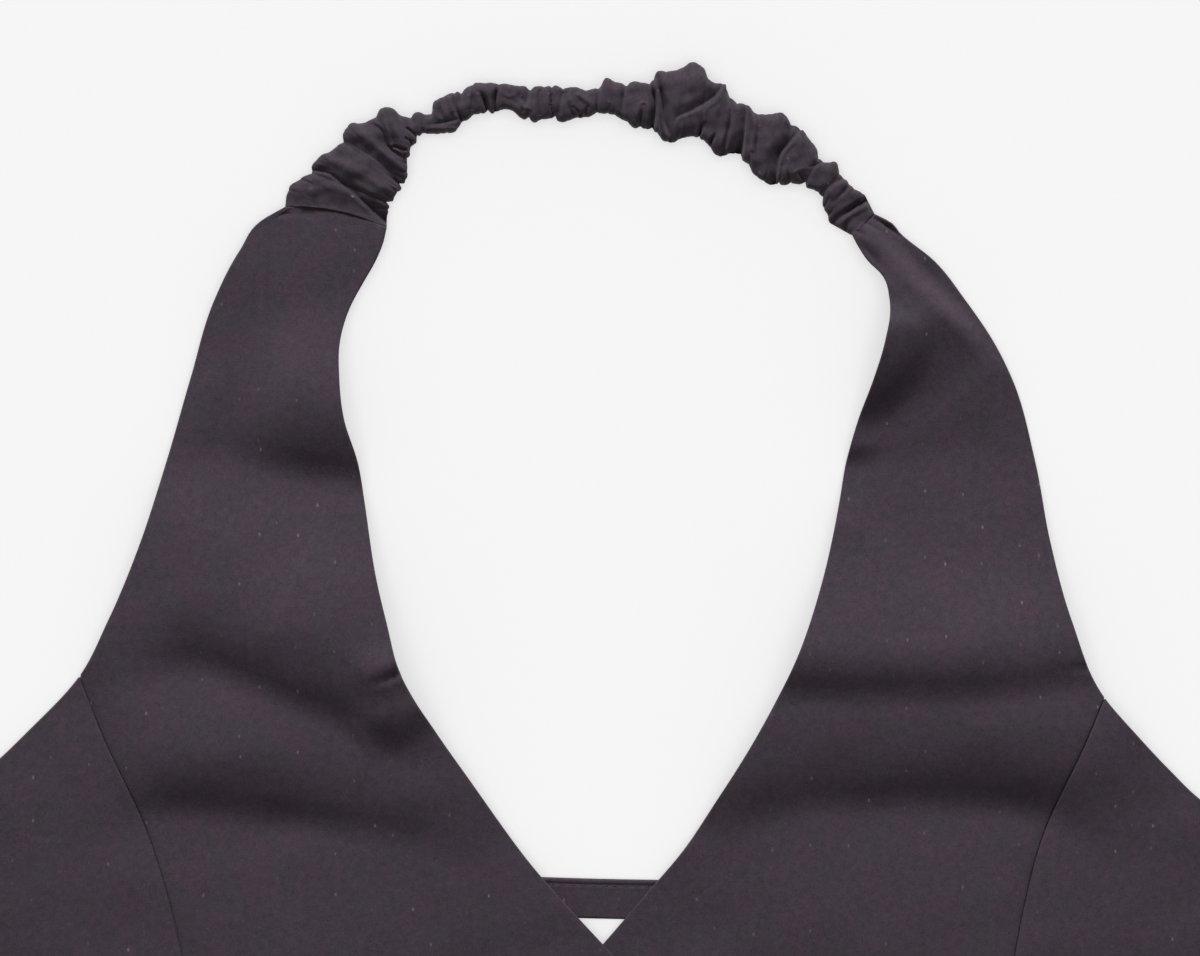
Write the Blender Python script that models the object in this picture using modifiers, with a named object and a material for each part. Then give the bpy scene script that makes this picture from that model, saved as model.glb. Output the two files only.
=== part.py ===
"""A halter neck top in tailored cloth, laid flat: its cut pieces, ruched neck strap and buttons.

The origin is the middle of the garment's outline, on the surface that it lies on. +X is the
wearer's left, +Y runs from the hem to the neck and +Z is up. The tables are in millimetres.
"""

import math
from collections import namedtuple

import bmesh
import bpy
import numpy as np

MM = 0.001

# Cloth and the room between pieces
WALL = 1.2            # shell cloth with the seam allowance turned under it
SEAM_GAP = 0.42       # across a sewn seam, measured along a row
LAYER_GAP = 0.35      # between cloth and the cloth that it lies on
STRAP_WALL = 1.6      # back strap: cloth folded to four layers

# Edges, from top to bottom, as (y, x)
HEM_Y = -229.0
STAND = 16.0          # how far each front runs past the centre, for the buttons
STAND_TOP = -61.0     # where the neck edge turns down into the button stand

NECK_RIGHT = (
    (178.0, -67.0), (173.5, -68.0), (167.5, -70.5), (160.5, -74.5), (154.0, -78.0),
    (143.0, -81.3), (131.0, -81.4), (118.5, -79.9), (105.5, -75.9), (93.5, -73.9),
    (69.0, -69.9), (56.5, -66.9), (39.0, -61.9), (21.5, -51.4), (7.0, -41.3),
    (-19.0, -22.5), (-44.0, 0.0), (STAND_TOP, STAND),
)
NECK_LEFT = (
    (175.8, 77.0), (172.0, 79.0), (167.5, 82.0), (163.5, 86.0), (155.5, 88.5),
    (143.0, 87.0), (131.0, 83.5), (118.5, 79.0), (106.0, 75.5), (93.5, 73.3),
    (69.0, 67.9), (44.0, 59.4), (18.0, 46.0), (1.0, 35.4), (-14.5, 25.2),
    (-30.0, 12.0), (-44.0, 0.0), (STAND_TOP, -STAND),
)
ARMHOLE_RIGHT = (
    (184.5, -98.5), (180.5, -105.5), (171.0, -112.5), (155.5, -120.5), (131.0, -128.0),
    (106.0, -135.2), (81.0, -143.0), (56.5, -153.2), (39.0, -162.4), (21.5, -178.8),
    (12.5, -188.2), (3.5, -199.6), (-3.0, -212.0),
)
ARMHOLE_LEFT = (
    (182.4, 84.0), (179.5, 89.5), (176.5, 92.0), (168.0, 102.5), (155.5, 112.5),
    (143.0, 121.0), (131.0, 127.0), (106.0, 134.0), (81.0, 138.5), (56.5, 144.8),
    (32.5, 155.2), (20.0, 166.1), (10.0, 175.6), (0.5, 185.6), (-8.5, 199.6),
    (-13.0, 212.0),
)
PRINCESS_RIGHT = (
    (39.0, -162.4), (21.5, -155.5), (-5.0, -143.0), (-32.0, -134.0), (-47.0, -130.5),
    (-95.0, -119.5), (-139.0, -115.0), (HEM_Y, -122.0),
)
PRINCESS_LEFT = (
    (32.5, 155.2), (18.0, 149.0), (1.0, 141.0), (-14.5, 135.0), (-30.0, 131.0),
    (-47.5, 127.5), (-95.0, 119.0), (-139.0, 115.0), (HEM_Y, 122.0),
)
SIDE_RIGHT = (
    (-3.0, -212.0), (-45.0, -205.0), (-95.0, -194.0), (-139.0, -190.0), (-185.0, -196.0),
    (HEM_Y, -204.0),
)
SIDE_LEFT = (
    (-13.0, 212.0), (-45.0, 205.5), (-95.0, 194.0), (-139.0, 190.0), (-185.0, 196.0),
    (HEM_Y, 204.0),
)
STAND_RIGHT = ((STAND_TOP, STAND), (-145.0, STAND), (HEM_Y, STAND))
STAND_LEFT = ((STAND_TOP, -STAND), (-145.0, -STAND), (HEM_Y, -STAND))

# Each cut piece of the front: its outer and inner edge as (edge, the y it runs down to, x moved
# for the seam), and its rows as (outer y, inner y, rows to the next), from top to bottom.
PANELS = {
    "front_right": {
        "outer": ((ARMHOLE_RIGHT, 39.0, 0.0), (PRINCESS_RIGHT, HEM_Y, SEAM_GAP / 2)),
        "inner": ((NECK_RIGHT, STAND_TOP, 0.0), (STAND_RIGHT, HEM_Y, 0.0)),
        "rows": ((184.5, 178.0, 24), (39.0, 36.0, 16), (-50.0, STAND_TOP, 16), (-226.5, HEM_Y, 0)),
        "columns": 12,
    },
    "front_left": {
        "outer": ((ARMHOLE_LEFT, 32.5, 0.0), (PRINCESS_LEFT, HEM_Y, -SEAM_GAP / 2)),
        "inner": ((NECK_LEFT, STAND_TOP, 0.0), (STAND_LEFT, HEM_Y, 0.0)),
        "rows": ((182.4, 175.8, 26), (32.5, 30.0, 15), (-52.0, STAND_TOP, 16), (-226.5, HEM_Y, 0)),
        "columns": 12,
    },
    "side_front_right": {
        "outer": ((ARMHOLE_RIGHT, -3.0, 0.0), (SIDE_RIGHT, HEM_Y, 0.0)),
        "inner": ((PRINCESS_RIGHT, HEM_Y, -SEAM_GAP / 2),),
        "rows": ((37.5, 37.5, 7), (-3.0, -10.0, 7), (-50.0, -50.0, 12), (-223.0, -226.5, 0)),
        "columns": 7,
    },
    "side_front_left": {
        "outer": ((ARMHOLE_LEFT, -13.0, 0.0), (SIDE_LEFT, HEM_Y, 0.0)),
        "inner": ((PRINCESS_LEFT, HEM_Y, SEAM_GAP / 2),),
        "rows": ((31.0, 31.0, 7), (-13.0, -18.0, 6), (-52.0, -52.0, 12), (-223.0, -226.5, 0)),
        "columns": 7,
    },
}

# Back strap: its upper edge is a shallow curve from one underarm to the other
STRAP_TOP_Y = -23.9   # at the centre
STRAP_TILT = -0.0236  # the wearer's left underarm lies lower
STRAP_SAG = 3.6e-4    # rise per square millimetre from the centre
STRAP_WIDTH = 12.4
STRAP_HALF_LENGTH = 208.0
STRAP_PIECES = 24

# Back panel: low, cut on the fold, its upper edge dipping to the centre
BACK_CENTRE_Y = -104.0
BACK_SIDE_RISE = 40.0
BACK_HEM_RISE = 6.0
BACK_ROWS = 9
BACK_COLUMNS = 18

# What the fronts lie on
RISE_ABOVE_STRAP = 70.0   # they leave the ground this far above the strap
FALL_BELOW_STRAP = 50.0   # and settle on the back panel this far below its top
STRAP_SHOULDER = 2.0      # at full height this far outside the strap's two edges
OVERLAP_START = -34.0     # the upper front climbs over the lower one from this x
OVERLAP_FULL = -20.0
OVERLAP_ROOM = 0.15       # more than the layer's gap, because the climb is a slope

# Folds: rolls of cloth that have slumped towards the hem. Each has the places (x, y) that its
# foot runs through, with the roll on the left of that line, the roll's height at each place, the
# width of its rounded face, and how far it then reaches back.
Fold = namedtuple("Fold", "places heights face back")
FOLDS = (
    # right front: below the shoulder, the two across the bust, their short side creases
    Fold(((-112, 108), (-94, 103), (-74, 101)), (0.0, 4.2, 6.2), 19.0, 26.0),
    Fold(((-148, 35), (-124, 41), (-97, 31), (-68, 16)), (1.2, 4.6, 6.0, 6.2), 20.0, 36.0),
    Fold(((-70, 15.5), (-62, 19.5), (-53, 26.5)), (0.6, 1.6, 2.0), 7.0, 8.0),
    Fold(((-71.5, 35), (-66.5, 37), (-61, 38.5)), (0.0, 1.2, 1.6), 6.0, 9.0),
    Fold(
        ((-152, -1.5), (-120, -1), (-90, -2), (-60, -11), (-22, -34)),
        (1.6, 5.6, 5.0, 3.2, 0.2), 17.0, 34.0,
    ),
    # left front: the turned pleat from the neck strap, the pool under it, creases at the edge
    Fold(((119, 142), (102.5, 164.5), (84, 180.5)), (0.8, 4.2, 2.6), 13.0, 16.0),
    Fold(((76, 109), (91, 124), (102, 140), (112, 154)), (4.8, 7.4, 5.0, 0.6), 19.0, 13.0),
    Fold(((75, 106), (81.5, 106.5), (89.5, 108.5)), (1.5, 1.1, 0.0), 7.0, 10.0),
    Fold(((73, 83.5), (78.5, 82.5), (85, 82.5)), (0.8, 0.5, 0.0), 6.0, 9.0),
    Fold(((60, 34), (104.5, 35), (149, 38.5)), (5.2, 5.0, 3.2), 14.0, 38.0),
    Fold(
        ((39, -16), (56, -2), (82, 3), (118, 1.5), (142, -2), (168, -15)),
        (0.6, 4.0, 5.8, 6.0, 4.8, 0.2), 18.0, 32.0,
    ),
    # quieter ones down to the hem
    Fold(((-152, -76), (-95, -64), (-34, -78)), (0.8, 3.2, 0.0), 17.0, 34.0),
    Fold(((-188, -144), (-110, -131), (-42, -144)), (0.6, 2.8, 0.0), 18.0, 34.0),
    Fold(((34, -72), (92, -64), (168, -84)), (0.0, 3.2, 0.8), 17.0, 34.0),
    Fold(((44, -144), (110, -131), (192, -154)), (0.0, 2.8, 0.8), 18.0, 34.0),
)
FOLD_STEPS = 10       # pieces of the foot's line from one place to the next
FOLD_FOOT = 2.2       # the foot is rounded over this distance to either side
FOLD_END_REACH = 0.4  # past its ends a fold dies away over this share of its reach

# Neck strap: the crest of each pleat runs from the outer to the inner edge, and valley is how
# deep the cloth falls after it
STRAP_SEAM_RIGHT = (-98.5, 184.5, -67.0, 178.0)
STRAP_SEAM_LEFT = (84.0, 182.4, 77.0, 175.8)
STRAP_END_HEIGHT = 2.6
STRAP_END_WALL = 0.8
Pleat = namedtuple("Pleat", "outer_x outer_y inner_x inner_y height valley")
PLEATS = [Pleat(*row) for row in (
    # three slanting lobes and a knob on the broad cuff
    (-96.7, 190.4, -66.7, 181.7, 5.4, 0.5),
    (-94.5, 193.1, -65.7, 184.8, 6.6, 2.2),
    (-88.3, 199.7, -63.9, 186.9, 7.4, 2.3),
    (-78.4, 210.2, -60.5, 193.1, 7.8, 0.8),
    (-73.2, 210.8, -59.8, 197.5, 7.4, 1.7),
    (-67.9, 215.2, -59.2, 201.5, 8.6, 0.8),
    (-63.9, 213.9, -58.6, 204.6, 7.0, 1.6),
    # the narrow rope, in short lumps
    (-57.4, 213.9, -54.6, 207.1, 6.0, 1.2),
    (-50.2, 218.3, -50.5, 207.1, 7.4, 0.7),
    (-46.5, 219.8, -45.6, 208.3, 7.8, 1.6),
    (-41.2, 221.4, -41.2, 212.1, 7.6, 1.5),
    (-38.1, 222.9, -37.2, 213.6, 8.0, 0.6),
    (-34.1, 222.6, -33.8, 213.9, 7.8, 1.7),
    (-30.1, 222.3, -30.4, 215.0, 7.4, 0.6),
    (-25.4, 221.7, -25.6, 213.2, 7.2, 1.6),
    (-20.1, 221.7, -21.2, 210.5, 8.0, 0.8),
    (-16.1, 222.3, -17.7, 211.4, 8.2, 1.2),
    (-9.3, 221.4, -12.7, 210.2, 7.8, 1.5),
    (-3.4, 221.4, -5.9, 212.4, 7.6, 1.6),
    (0.9, 224.5, 0.9, 212.4, 8.6, 0.8),
    (4.3, 223.8, 5.9, 210.5, 8.4, 1.4),
    (10.5, 223.5, 9.9, 208.6, 8.6, 0.8),
    (13.3, 223.2, 13.6, 207.4, 8.8, 2.0),
    # the broad lobes behind the wearer's left shoulder, between deep valleys
    (16.1, 224.5, 17.7, 205.9, 8.6, 2.0),
    (18.6, 226.9, 21.1, 204.3, 9.2, 0.7),
    (27.0, 229.4, 25.1, 205.2, 9.4, 0.6),
    (32.2, 226.9, 28.2, 205.9, 9.0, 1.8),
    (36.9, 222.9, 32.2, 203.4, 8.8, 0.7),
    (39.7, 220.2, 36.0, 199.2, 8.4, 2.6),
    (44.3, 216.4, 43.4, 197.8, 8.6, 1.5),
    (49.0, 213.6, 47.4, 193.8, 8.8, 0.6),
    (55.4, 213.6, 52.1, 190.4, 8.8, 2.4),
    (60.8, 209.0, 55.8, 190.4, 8.4, 0.7),
    (65.5, 205.1, 60.1, 191.1, 8.0, 1.9),
    # down to the narrow end on the left front
    (70.1, 198.7, 63.6, 189.1, 7.4, 0.7),
    (72.8, 195.6, 67.4, 187.0, 7.2, 1.4),
    (77.2, 191.6, 69.3, 182.3, 7.0, 0.8),
    (80.9, 188.5, 70.8, 178.2, 6.6, 1.2),
)]
PLEAT_DRAW = 0.6      # the outline is drawn in by this share of a valley's depth
PLEAT_STEPS = 4       # rings from one crest to the next
RING_POINTS = 14
RING_SQUARENESS = 2.5
RING_FLAT = 1.2       # how much the underside is flattened where it rests
CASING_WALL = 1.1

# Buttons: plain, four holes
BUTTON_YS = (-68.0, -110.0, -152.0, -194.0)
BUTTON_RADIUS = 8.0
BUTTON_THICKNESS = 2.8
BUTTON_DISH = 0.7     # how far the middle lies below the rim
BUTTON_RIM = 2.2
BUTTON_SLOPE = 0.8    # from the dish up to the rim
BUTTON_EDGE = 0.9     # the rim's outer corner
BUTTON_UNDERCUT = 1.6
BUTTON_STEPS = 24
BUTTON_HOLE_RADIUS = 0.9
BUTTON_HOLE_PITCH = 2.9
BUTTON_HOLE_SIDES = 8

CLOTH_COLOUR = (0.056, 0.044, 0.056)
STRAP_COLOUR = (0.042, 0.034, 0.044)
BUTTON_COLOUR = (0.024, 0.020, 0.023)
CLOTH_ROUGHNESS = 0.85
BUTTON_ROUGHNESS = 0.35


# ---------------------------------------------------------------- edges and heights


def curve(knots, values, at, flat_ends=False):
    """A smooth curve through the values at their knots, read at one place or at many."""
    slopes = np.gradient(values, knots)
    if flat_ends:
        slopes[0] = slopes[-1] = 0.0
    i = np.clip(np.searchsorted(knots, at) - 1, 0, len(knots) - 2)
    span = knots[i + 1] - knots[i]
    t = (at - knots[i]) / span
    start = (2 * t ** 3 - 3 * t ** 2 + 1) * values[i] + (t ** 3 - 2 * t ** 2 + t) * span * slopes[i]
    end = (3 * t ** 2 - 2 * t ** 3) * values[i + 1] + (t ** 3 - t ** 2) * span * slopes[i + 1]
    return start + end


def edge_x(edge, y):
    """The x of an edge at y."""
    ys, xs = np.array(edge)[::-1].T
    return curve(ys, xs, y)


def chain_x(chain, y):
    """The x at y on edges that follow each other down the piece."""
    for edge, down_to, moved in chain:
        if y >= down_to - 1e-6:
            return float(edge_x(edge, y)) + moved
    edge, _, moved = chain[-1]
    return float(edge_x(edge, y)) + moved


def smooth_step(value, start, end):
    """0 before start, 1 past end, and a soft S between."""
    t = np.clip((value - start) / (end - start), 0.0, 1.0)
    return t * t * (3.0 - 2.0 * t)


def strap_top(x):
    """The upper edge of the back strap."""
    return STRAP_TOP_Y + STRAP_TILT * x + STRAP_SAG * x ** 2


def rest_height(x, y):
    """The ground, the back strap or the back panel under the fronts, with the room to them."""
    over_strap = STRAP_WALL + LAYER_GAP
    over_back = WALL + LAYER_GAP
    below_top = strap_top(x) - y
    on_strap = over_strap * smooth_step(below_top, -RISE_ABOVE_STRAP, -STRAP_SHOULDER)
    settled = smooth_step(below_top, STRAP_WIDTH + STRAP_SHOULDER, FALL_BELOW_STRAP)
    return on_strap - (over_strap - over_back) * settled


def fold_line(fold):
    """Points along the foot of a fold, and the roll's height at each."""
    knots = np.arange(len(fold.places), dtype=float)
    steps = np.linspace(0.0, knots[-1], FOLD_STEPS * (len(knots) - 1) + 1)
    xs, ys = np.array(fold.places, float).T
    line = np.stack([curve(knots, xs, steps), curve(knots, ys, steps)], axis=1)
    return line, curve(knots, np.array(fold.heights), steps, flat_ends=True)


def fold_rise(fold, x, y):
    """How far one fold lifts the cloth at each point."""
    line, heights = fold_line(fold)
    pieces = np.diff(line, axis=0)
    lengths = np.linalg.norm(pieces, axis=1)
    units = pieces / lengths[:, None]
    off = np.stack([x, y], axis=-1)[..., None, :] - line[:-1]
    run = np.sum(off * units, axis=-1)
    past = run - np.clip(run, 0.0, lengths)
    beside = units[:, 0] * off[..., 1] - units[:, 1] * off[..., 0]
    nearest = np.argmin(beside ** 2 + past ** 2, axis=-1)[..., None]
    run, past, beside = (np.take_along_axis(a, nearest, -1)[..., 0] for a in (run, past, beside))
    nearest = nearest[..., 0]
    share = np.clip(run / lengths[nearest], 0.0, 1.0)
    height = heights[nearest] * (1.0 - share) + heights[nearest + 1] * share
    from_foot = np.where(beside < FOLD_FOOT, (beside + FOLD_FOOT) ** 2 / (4 * FOLD_FOOT), beside)
    from_foot = np.where(beside < -FOLD_FOOT, 0.0, from_foot)
    rounded = 1.0 - np.maximum(1.0 - from_foot / fold.face, 0.0) ** 2
    behind = np.maximum(beside - fold.face, 0.0) / fold.back
    return height * rounded * np.exp(-behind ** 2 - (past / (fold.back * FOLD_END_REACH)) ** 2)


def cloth_height(x, y):
    """The underside of the fronts: what they lie on, and the folds that the cloth stands in."""
    x, y = np.asarray(x, float), np.asarray(y, float)
    return rest_height(x, y) + sum(fold_rise(fold, x, y) for fold in FOLDS)


def overlap_lift(x):
    """How far the upper front stands over the lower one near the centre."""
    return (WALL + LAYER_GAP + OVERLAP_ROOM) * smooth_step(x, OVERLAP_START, OVERLAP_FULL)


# ---------------------------------------------------------------- objects


def material(name, colour, roughness):
    made = bpy.data.materials.new(name)
    made.use_nodes = True
    shader = made.node_tree.nodes["Principled BSDF"]
    shader.inputs["Base Color"].default_value = (*colour, 1.0)
    shader.inputs["Roughness"].default_value = roughness
    shader.inputs["Metallic"].default_value = 0.0
    return made


def add_object(name, mesh, finish, collection, parent):
    """A named piece of the garment, in its collection and under the garment's empty."""
    mesh.materials.append(finish)
    piece = bpy.data.objects.new(name, mesh)
    collection.objects.link(piece)
    piece.parent = parent
    return piece


def grid_mesh(name, points):
    """A sheet through rows of points, facing up."""
    rows, columns = len(points), len(points[0])
    bm = bmesh.new()
    verts = [[bm.verts.new([value * MM for value in point]) for point in row] for row in points]
    for i in range(rows - 1):
        for j in range(columns - 1):
            bm.faces.new((verts[i][j], verts[i + 1][j], verts[i + 1][j + 1], verts[i][j + 1]))
    bm.normal_update()
    if sum(face.normal.z for face in bm.faces) < 0:
        bmesh.ops.reverse_faces(bm, faces=bm.faces[:])
    mesh = bpy.data.meshes.new(name)
    bm.to_mesh(mesh)
    bm.free()
    mesh.shade_smooth()
    return mesh


def thicken(piece, wall):
    """Turns a sheet into cloth: its points are the underside, and the wall stands on them."""
    shell = piece.modifiers.new("wall", "SOLIDIFY")
    shell.thickness = wall * MM
    shell.offset = 1.0
    shell.use_even_offset = False


# ---------------------------------------------------------------- the cut pieces


def panel_rows(panel):
    """(outer y, inner y) of each row of a front piece."""
    rows = []
    stations = panel["rows"]
    for (outer, inner, count), (next_outer, next_inner, _) in zip(stations, stations[1:]):
        for i in range(count):
            t = i / count
            rows.append((outer + (next_outer - outer) * t, inner + (next_inner - inner) * t))
    rows.append(stations[-1][:2])
    return rows


def panel_points(name):
    """The underside of a front piece, row by row from its outer to its inner edge."""
    panel = PANELS[name]
    share = np.linspace(0.0, 1.0, panel["columns"] + 1)
    points = []
    for outer_y, inner_y in panel_rows(panel):
        outer_x = chain_x(panel["outer"], outer_y)
        inner_x = chain_x(panel["inner"], inner_y)
        x = outer_x + (inner_x - outer_x) * share
        y = outer_y + (inner_y - outer_y) * share
        z = cloth_height(x, y)
        if name == "front_right":
            z = z + overlap_lift(x)
        points.append(list(zip(x, y, z)))
    return points


def back_panel_points():
    """The back, flat on the ground, from its dipping upper edge to the hem."""
    points = []
    for down in np.linspace(0.0, 1.0, BACK_ROWS + 1):
        row = []
        for across in np.linspace(-1.0, 1.0, BACK_COLUMNS + 1):
            top = BACK_CENTRE_Y + BACK_SIDE_RISE * across ** 2
            y = top + (HEM_Y + BACK_HEM_RISE * across ** 2 - top) * down
            side = SIDE_LEFT if across > 0 else SIDE_RIGHT
            row.append((abs(across) * float(edge_x(side, y)), y, 0.0))
        points.append(row)
    return points


def back_strap_points():
    """The back strap, flat on the ground, its two long edges parallel."""
    upper, lower = [], []
    for x in np.linspace(-STRAP_HALF_LENGTH, STRAP_HALF_LENGTH, STRAP_PIECES + 1):
        slope = STRAP_TILT + 2.0 * STRAP_SAG * x
        length = math.hypot(1.0, slope)
        upper.append((x, strap_top(x), 0.0))
        lower.append((x + slope / length * STRAP_WIDTH, strap_top(x) - STRAP_WIDTH / length, 0.0))
    return [upper, lower]


# ---------------------------------------------------------------- the neck strap


def strap_ring(outer, inner, low, high, drawn_in):
    """One section of the strap: rounded above, flattened where it rests."""
    middle = (outer + inner) / 2.0
    across = outer - inner
    half = np.linalg.norm(across) / 2.0
    across = across / (2.0 * half)
    half -= drawn_in
    rise = (high - low) / 2.0
    ring = []
    for i in range(RING_POINTS):
        turn = 2.0 * math.pi * i / RING_POINTS
        c, s = math.cos(turn), math.sin(turn)
        side = math.copysign(abs(c) ** (2.0 / RING_SQUARENESS), c)
        up = math.copysign(abs(s) ** (2.0 / RING_SQUARENESS), s)
        if up < 0:
            up = max(up * RING_FLAT, -1.0)
        x, y = middle + across * half * side
        ring.append((x, y, low + rise * (1.0 + up)))
    return ring


def seam_ring_ends(seam, towards):
    """A strap end beside the front that it is sewn to, a layer's gap away."""
    outer, inner = np.array(seam[:2]), np.array(seam[2:])
    line = (outer - inner) / np.linalg.norm(outer - inner)
    normal = np.array((-line[1], line[0]))
    normal *= math.copysign(LAYER_GAP, float(np.dot(normal, towards - (outer + inner) / 2.0)))
    return outer + normal, inner + normal


def strap_rings():
    """The pleated outside and the plain inside of the neck strap, as two lists of rings."""
    outers = np.array([(pleat.outer_x, pleat.outer_y) for pleat in PLEATS])
    inners = np.array([(pleat.inner_x, pleat.inner_y) for pleat in PLEATS])
    start = seam_ring_ends(STRAP_SEAM_RIGHT, outers[0])
    end = seam_ring_ends(STRAP_SEAM_LEFT, outers[-1])
    end_low, end_high = STRAP_END_WALL, STRAP_END_HEIGHT - STRAP_END_WALL
    outside = [strap_ring(*start, 0.0, STRAP_END_HEIGHT, 0.0)]
    inside = [strap_ring(*start, end_low, end_high, CASING_WALL)]
    for n, (pleat, following) in enumerate(zip(PLEATS, PLEATS[1:])):
        for i in range(PLEAT_STEPS):
            t = i / PLEAT_STEPS
            dip = pleat.valley * (1.0 - abs(math.cos(math.pi * t)))
            high = pleat.height + (following.height - pleat.height) * t - dip
            outer = outers[n] + (outers[n + 1] - outers[n]) * t
            inner = inners[n] + (inners[n + 1] - inners[n]) * t
            drawn_in = PLEAT_DRAW * dip
            outside.append(strap_ring(outer, inner, 0.0, high, drawn_in))
            if i == PLEAT_STEPS // 2:
                low, top = CASING_WALL, high - CASING_WALL
                inside.append(strap_ring(outer, inner, low, top, drawn_in + CASING_WALL))
    outside.append(strap_ring(outers[-1], inners[-1], 0.0, PLEATS[-1].height, 0.0))
    outside.append(strap_ring(*end, 0.0, STRAP_END_HEIGHT, 0.0))
    inside.append(strap_ring(*end, end_low, end_high, CASING_WALL))
    return outside, inside


def tube_mesh(name, outside, inside):
    """A tube with a wall: two lofts through rings, joined by a rim at each end."""
    bm = bmesh.new()
    skins = []
    for rings in (outside, inside):
        skins.append([[bm.verts.new([v * MM for v in point]) for point in ring] for ring in rings])
    outer, inner = skins
    strips = [*zip(outer, outer[1:]), *zip(inner[1:], inner)]
    strips += [(inner[0], outer[0]), (outer[-1], inner[-1])]
    for first, second in strips:
        for i in range(RING_POINTS):
            j = (i + 1) % RING_POINTS
            bm.faces.new((first[i], first[j], second[j], second[i]))
    bmesh.ops.recalc_face_normals(bm, faces=bm.faces[:])
    mesh = bpy.data.meshes.new(name)
    bm.to_mesh(mesh)
    bm.free()
    mesh.shade_smooth()
    return mesh


# ---------------------------------------------------------------- the buttons


def button_profile():
    """Half of a button's section as (radius, height), down its outer side from the middle."""
    rim_inside = BUTTON_RADIUS - BUTTON_RIM
    dish = BUTTON_THICKNESS - BUTTON_DISH
    return (
        (0.0, dish),
        (rim_inside - BUTTON_SLOPE, dish),
        (rim_inside, BUTTON_THICKNESS),
        (BUTTON_RADIUS - BUTTON_EDGE, BUTTON_THICKNESS),
        (BUTTON_RADIUS, BUTTON_THICKNESS - BUTTON_EDGE),
        (BUTTON_RADIUS, BUTTON_EDGE),
        (BUTTON_RADIUS - BUTTON_UNDERCUT, 0.0),
        (0.0, 0.0),
    )


def button_mesh(holes):
    """The turned button with its four thread holes cut through."""
    profile = button_profile()
    mesh = bpy.data.meshes.new("button")
    points = [(radius * MM, 0.0, height * MM) for radius, height in profile]
    mesh.from_pydata(points, [(i, i + 1) for i in range(len(points) - 1)], [])
    turned = bpy.data.objects.new("button_turned", mesh)
    bpy.context.scene.collection.objects.link(turned)
    screw = turned.modifiers.new("turn", "SCREW")
    screw.steps = BUTTON_STEPS
    screw.render_steps = BUTTON_STEPS
    screw.use_merge_vertices = True
    screw.merge_threshold = 0.00001
    cut = turned.modifiers.new("thread holes", "BOOLEAN")
    cut.operation = "DIFFERENCE"
    cut.object = holes
    graph = bpy.context.evaluated_depsgraph_get()
    made = bpy.data.meshes.new_from_object(turned.evaluated_get(graph))
    bpy.data.objects.remove(turned)
    return made


def hole_cutter(collection):
    """Four thin pegs, longer than the button is thick."""
    bm = bmesh.new()
    half = BUTTON_HOLE_PITCH / 2.0 * MM
    for side_x in (-1, 1):
        for side_y in (-1, 1):
            made = bmesh.ops.create_cone(
                bm,
                cap_ends=True,
                segments=BUTTON_HOLE_SIDES,
                radius1=BUTTON_HOLE_RADIUS * MM,
                radius2=BUTTON_HOLE_RADIUS * MM,
                depth=3 * BUTTON_THICKNESS * MM,
            )
            bmesh.ops.translate(bm, vec=(side_x * half, side_y * half, 0.0), verts=made["verts"])
    mesh = bpy.data.meshes.new("thread_holes")
    bm.to_mesh(mesh)
    bm.free()
    cutter = bpy.data.objects.new("thread_holes", mesh)
    cutter.hide_render = True
    cutter.display_type = "WIRE"
    collection.objects.link(cutter)
    return cutter


def button_seat(y):
    """The height of the upper front's top under a button."""
    turns = np.linspace(0.0, 2.0 * math.pi, BUTTON_STEPS, endpoint=False)
    x = np.concatenate([[0.0], BUTTON_RADIUS * np.cos(turns)])
    y = y + np.concatenate([[0.0], BUTTON_RADIUS * np.sin(turns)])
    return float(np.max(cloth_height(x, y) + overlap_lift(x))) + WALL


# ---------------------------------------------------------------- the garment


def main():
    for old in list(bpy.data.objects):
        bpy.data.objects.remove(old)
    garment = bpy.data.collections.new("halter_neck_top")
    cutters = bpy.data.collections.new("cutters")
    for collection in (garment, cutters):
        bpy.context.scene.collection.children.link(collection)
    cutters.hide_render = True
    middle = bpy.data.objects.new("garment_middle", None)
    garment.objects.link(middle)

    sheets = [(name, panel_points(name), WALL) for name in PANELS]
    sheets.append(("back_panel", back_panel_points(), WALL))
    sheets.append(("back_strap", back_strap_points(), STRAP_WALL))
    for name, points, wall in sheets:
        finish = material(name, CLOTH_COLOUR, CLOTH_ROUGHNESS)
        thicken(add_object(name, grid_mesh(name, points), finish, garment, middle), wall)

    finish = material("neck_strap", STRAP_COLOUR, CLOTH_ROUGHNESS)
    add_object("neck_strap", tube_mesh("neck_strap", *strap_rings()), finish, garment, middle)

    button = button_mesh(hole_cutter(cutters))
    for number, y in enumerate(BUTTON_YS, start=1):
        name = f"button_{number}"
        finish = material(name, BUTTON_COLOUR, BUTTON_ROUGHNESS)
        piece = add_object(name, button.copy(), finish, garment, middle)
        piece.location = (0.0, y * MM, (button_seat(y) + LAYER_GAP) * MM)


main()
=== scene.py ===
# %% [markdown]
# # A halter neck top, laid flat
# The top is two long fronts that narrow into a halter, two side fronts, a low back panel, a narrow
# back strap and a ruched neck strap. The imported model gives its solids; this lesson dresses them:
# each cut piece becomes a thin shell of cloth with turned edges, soft folds and a woven finish.

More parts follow.
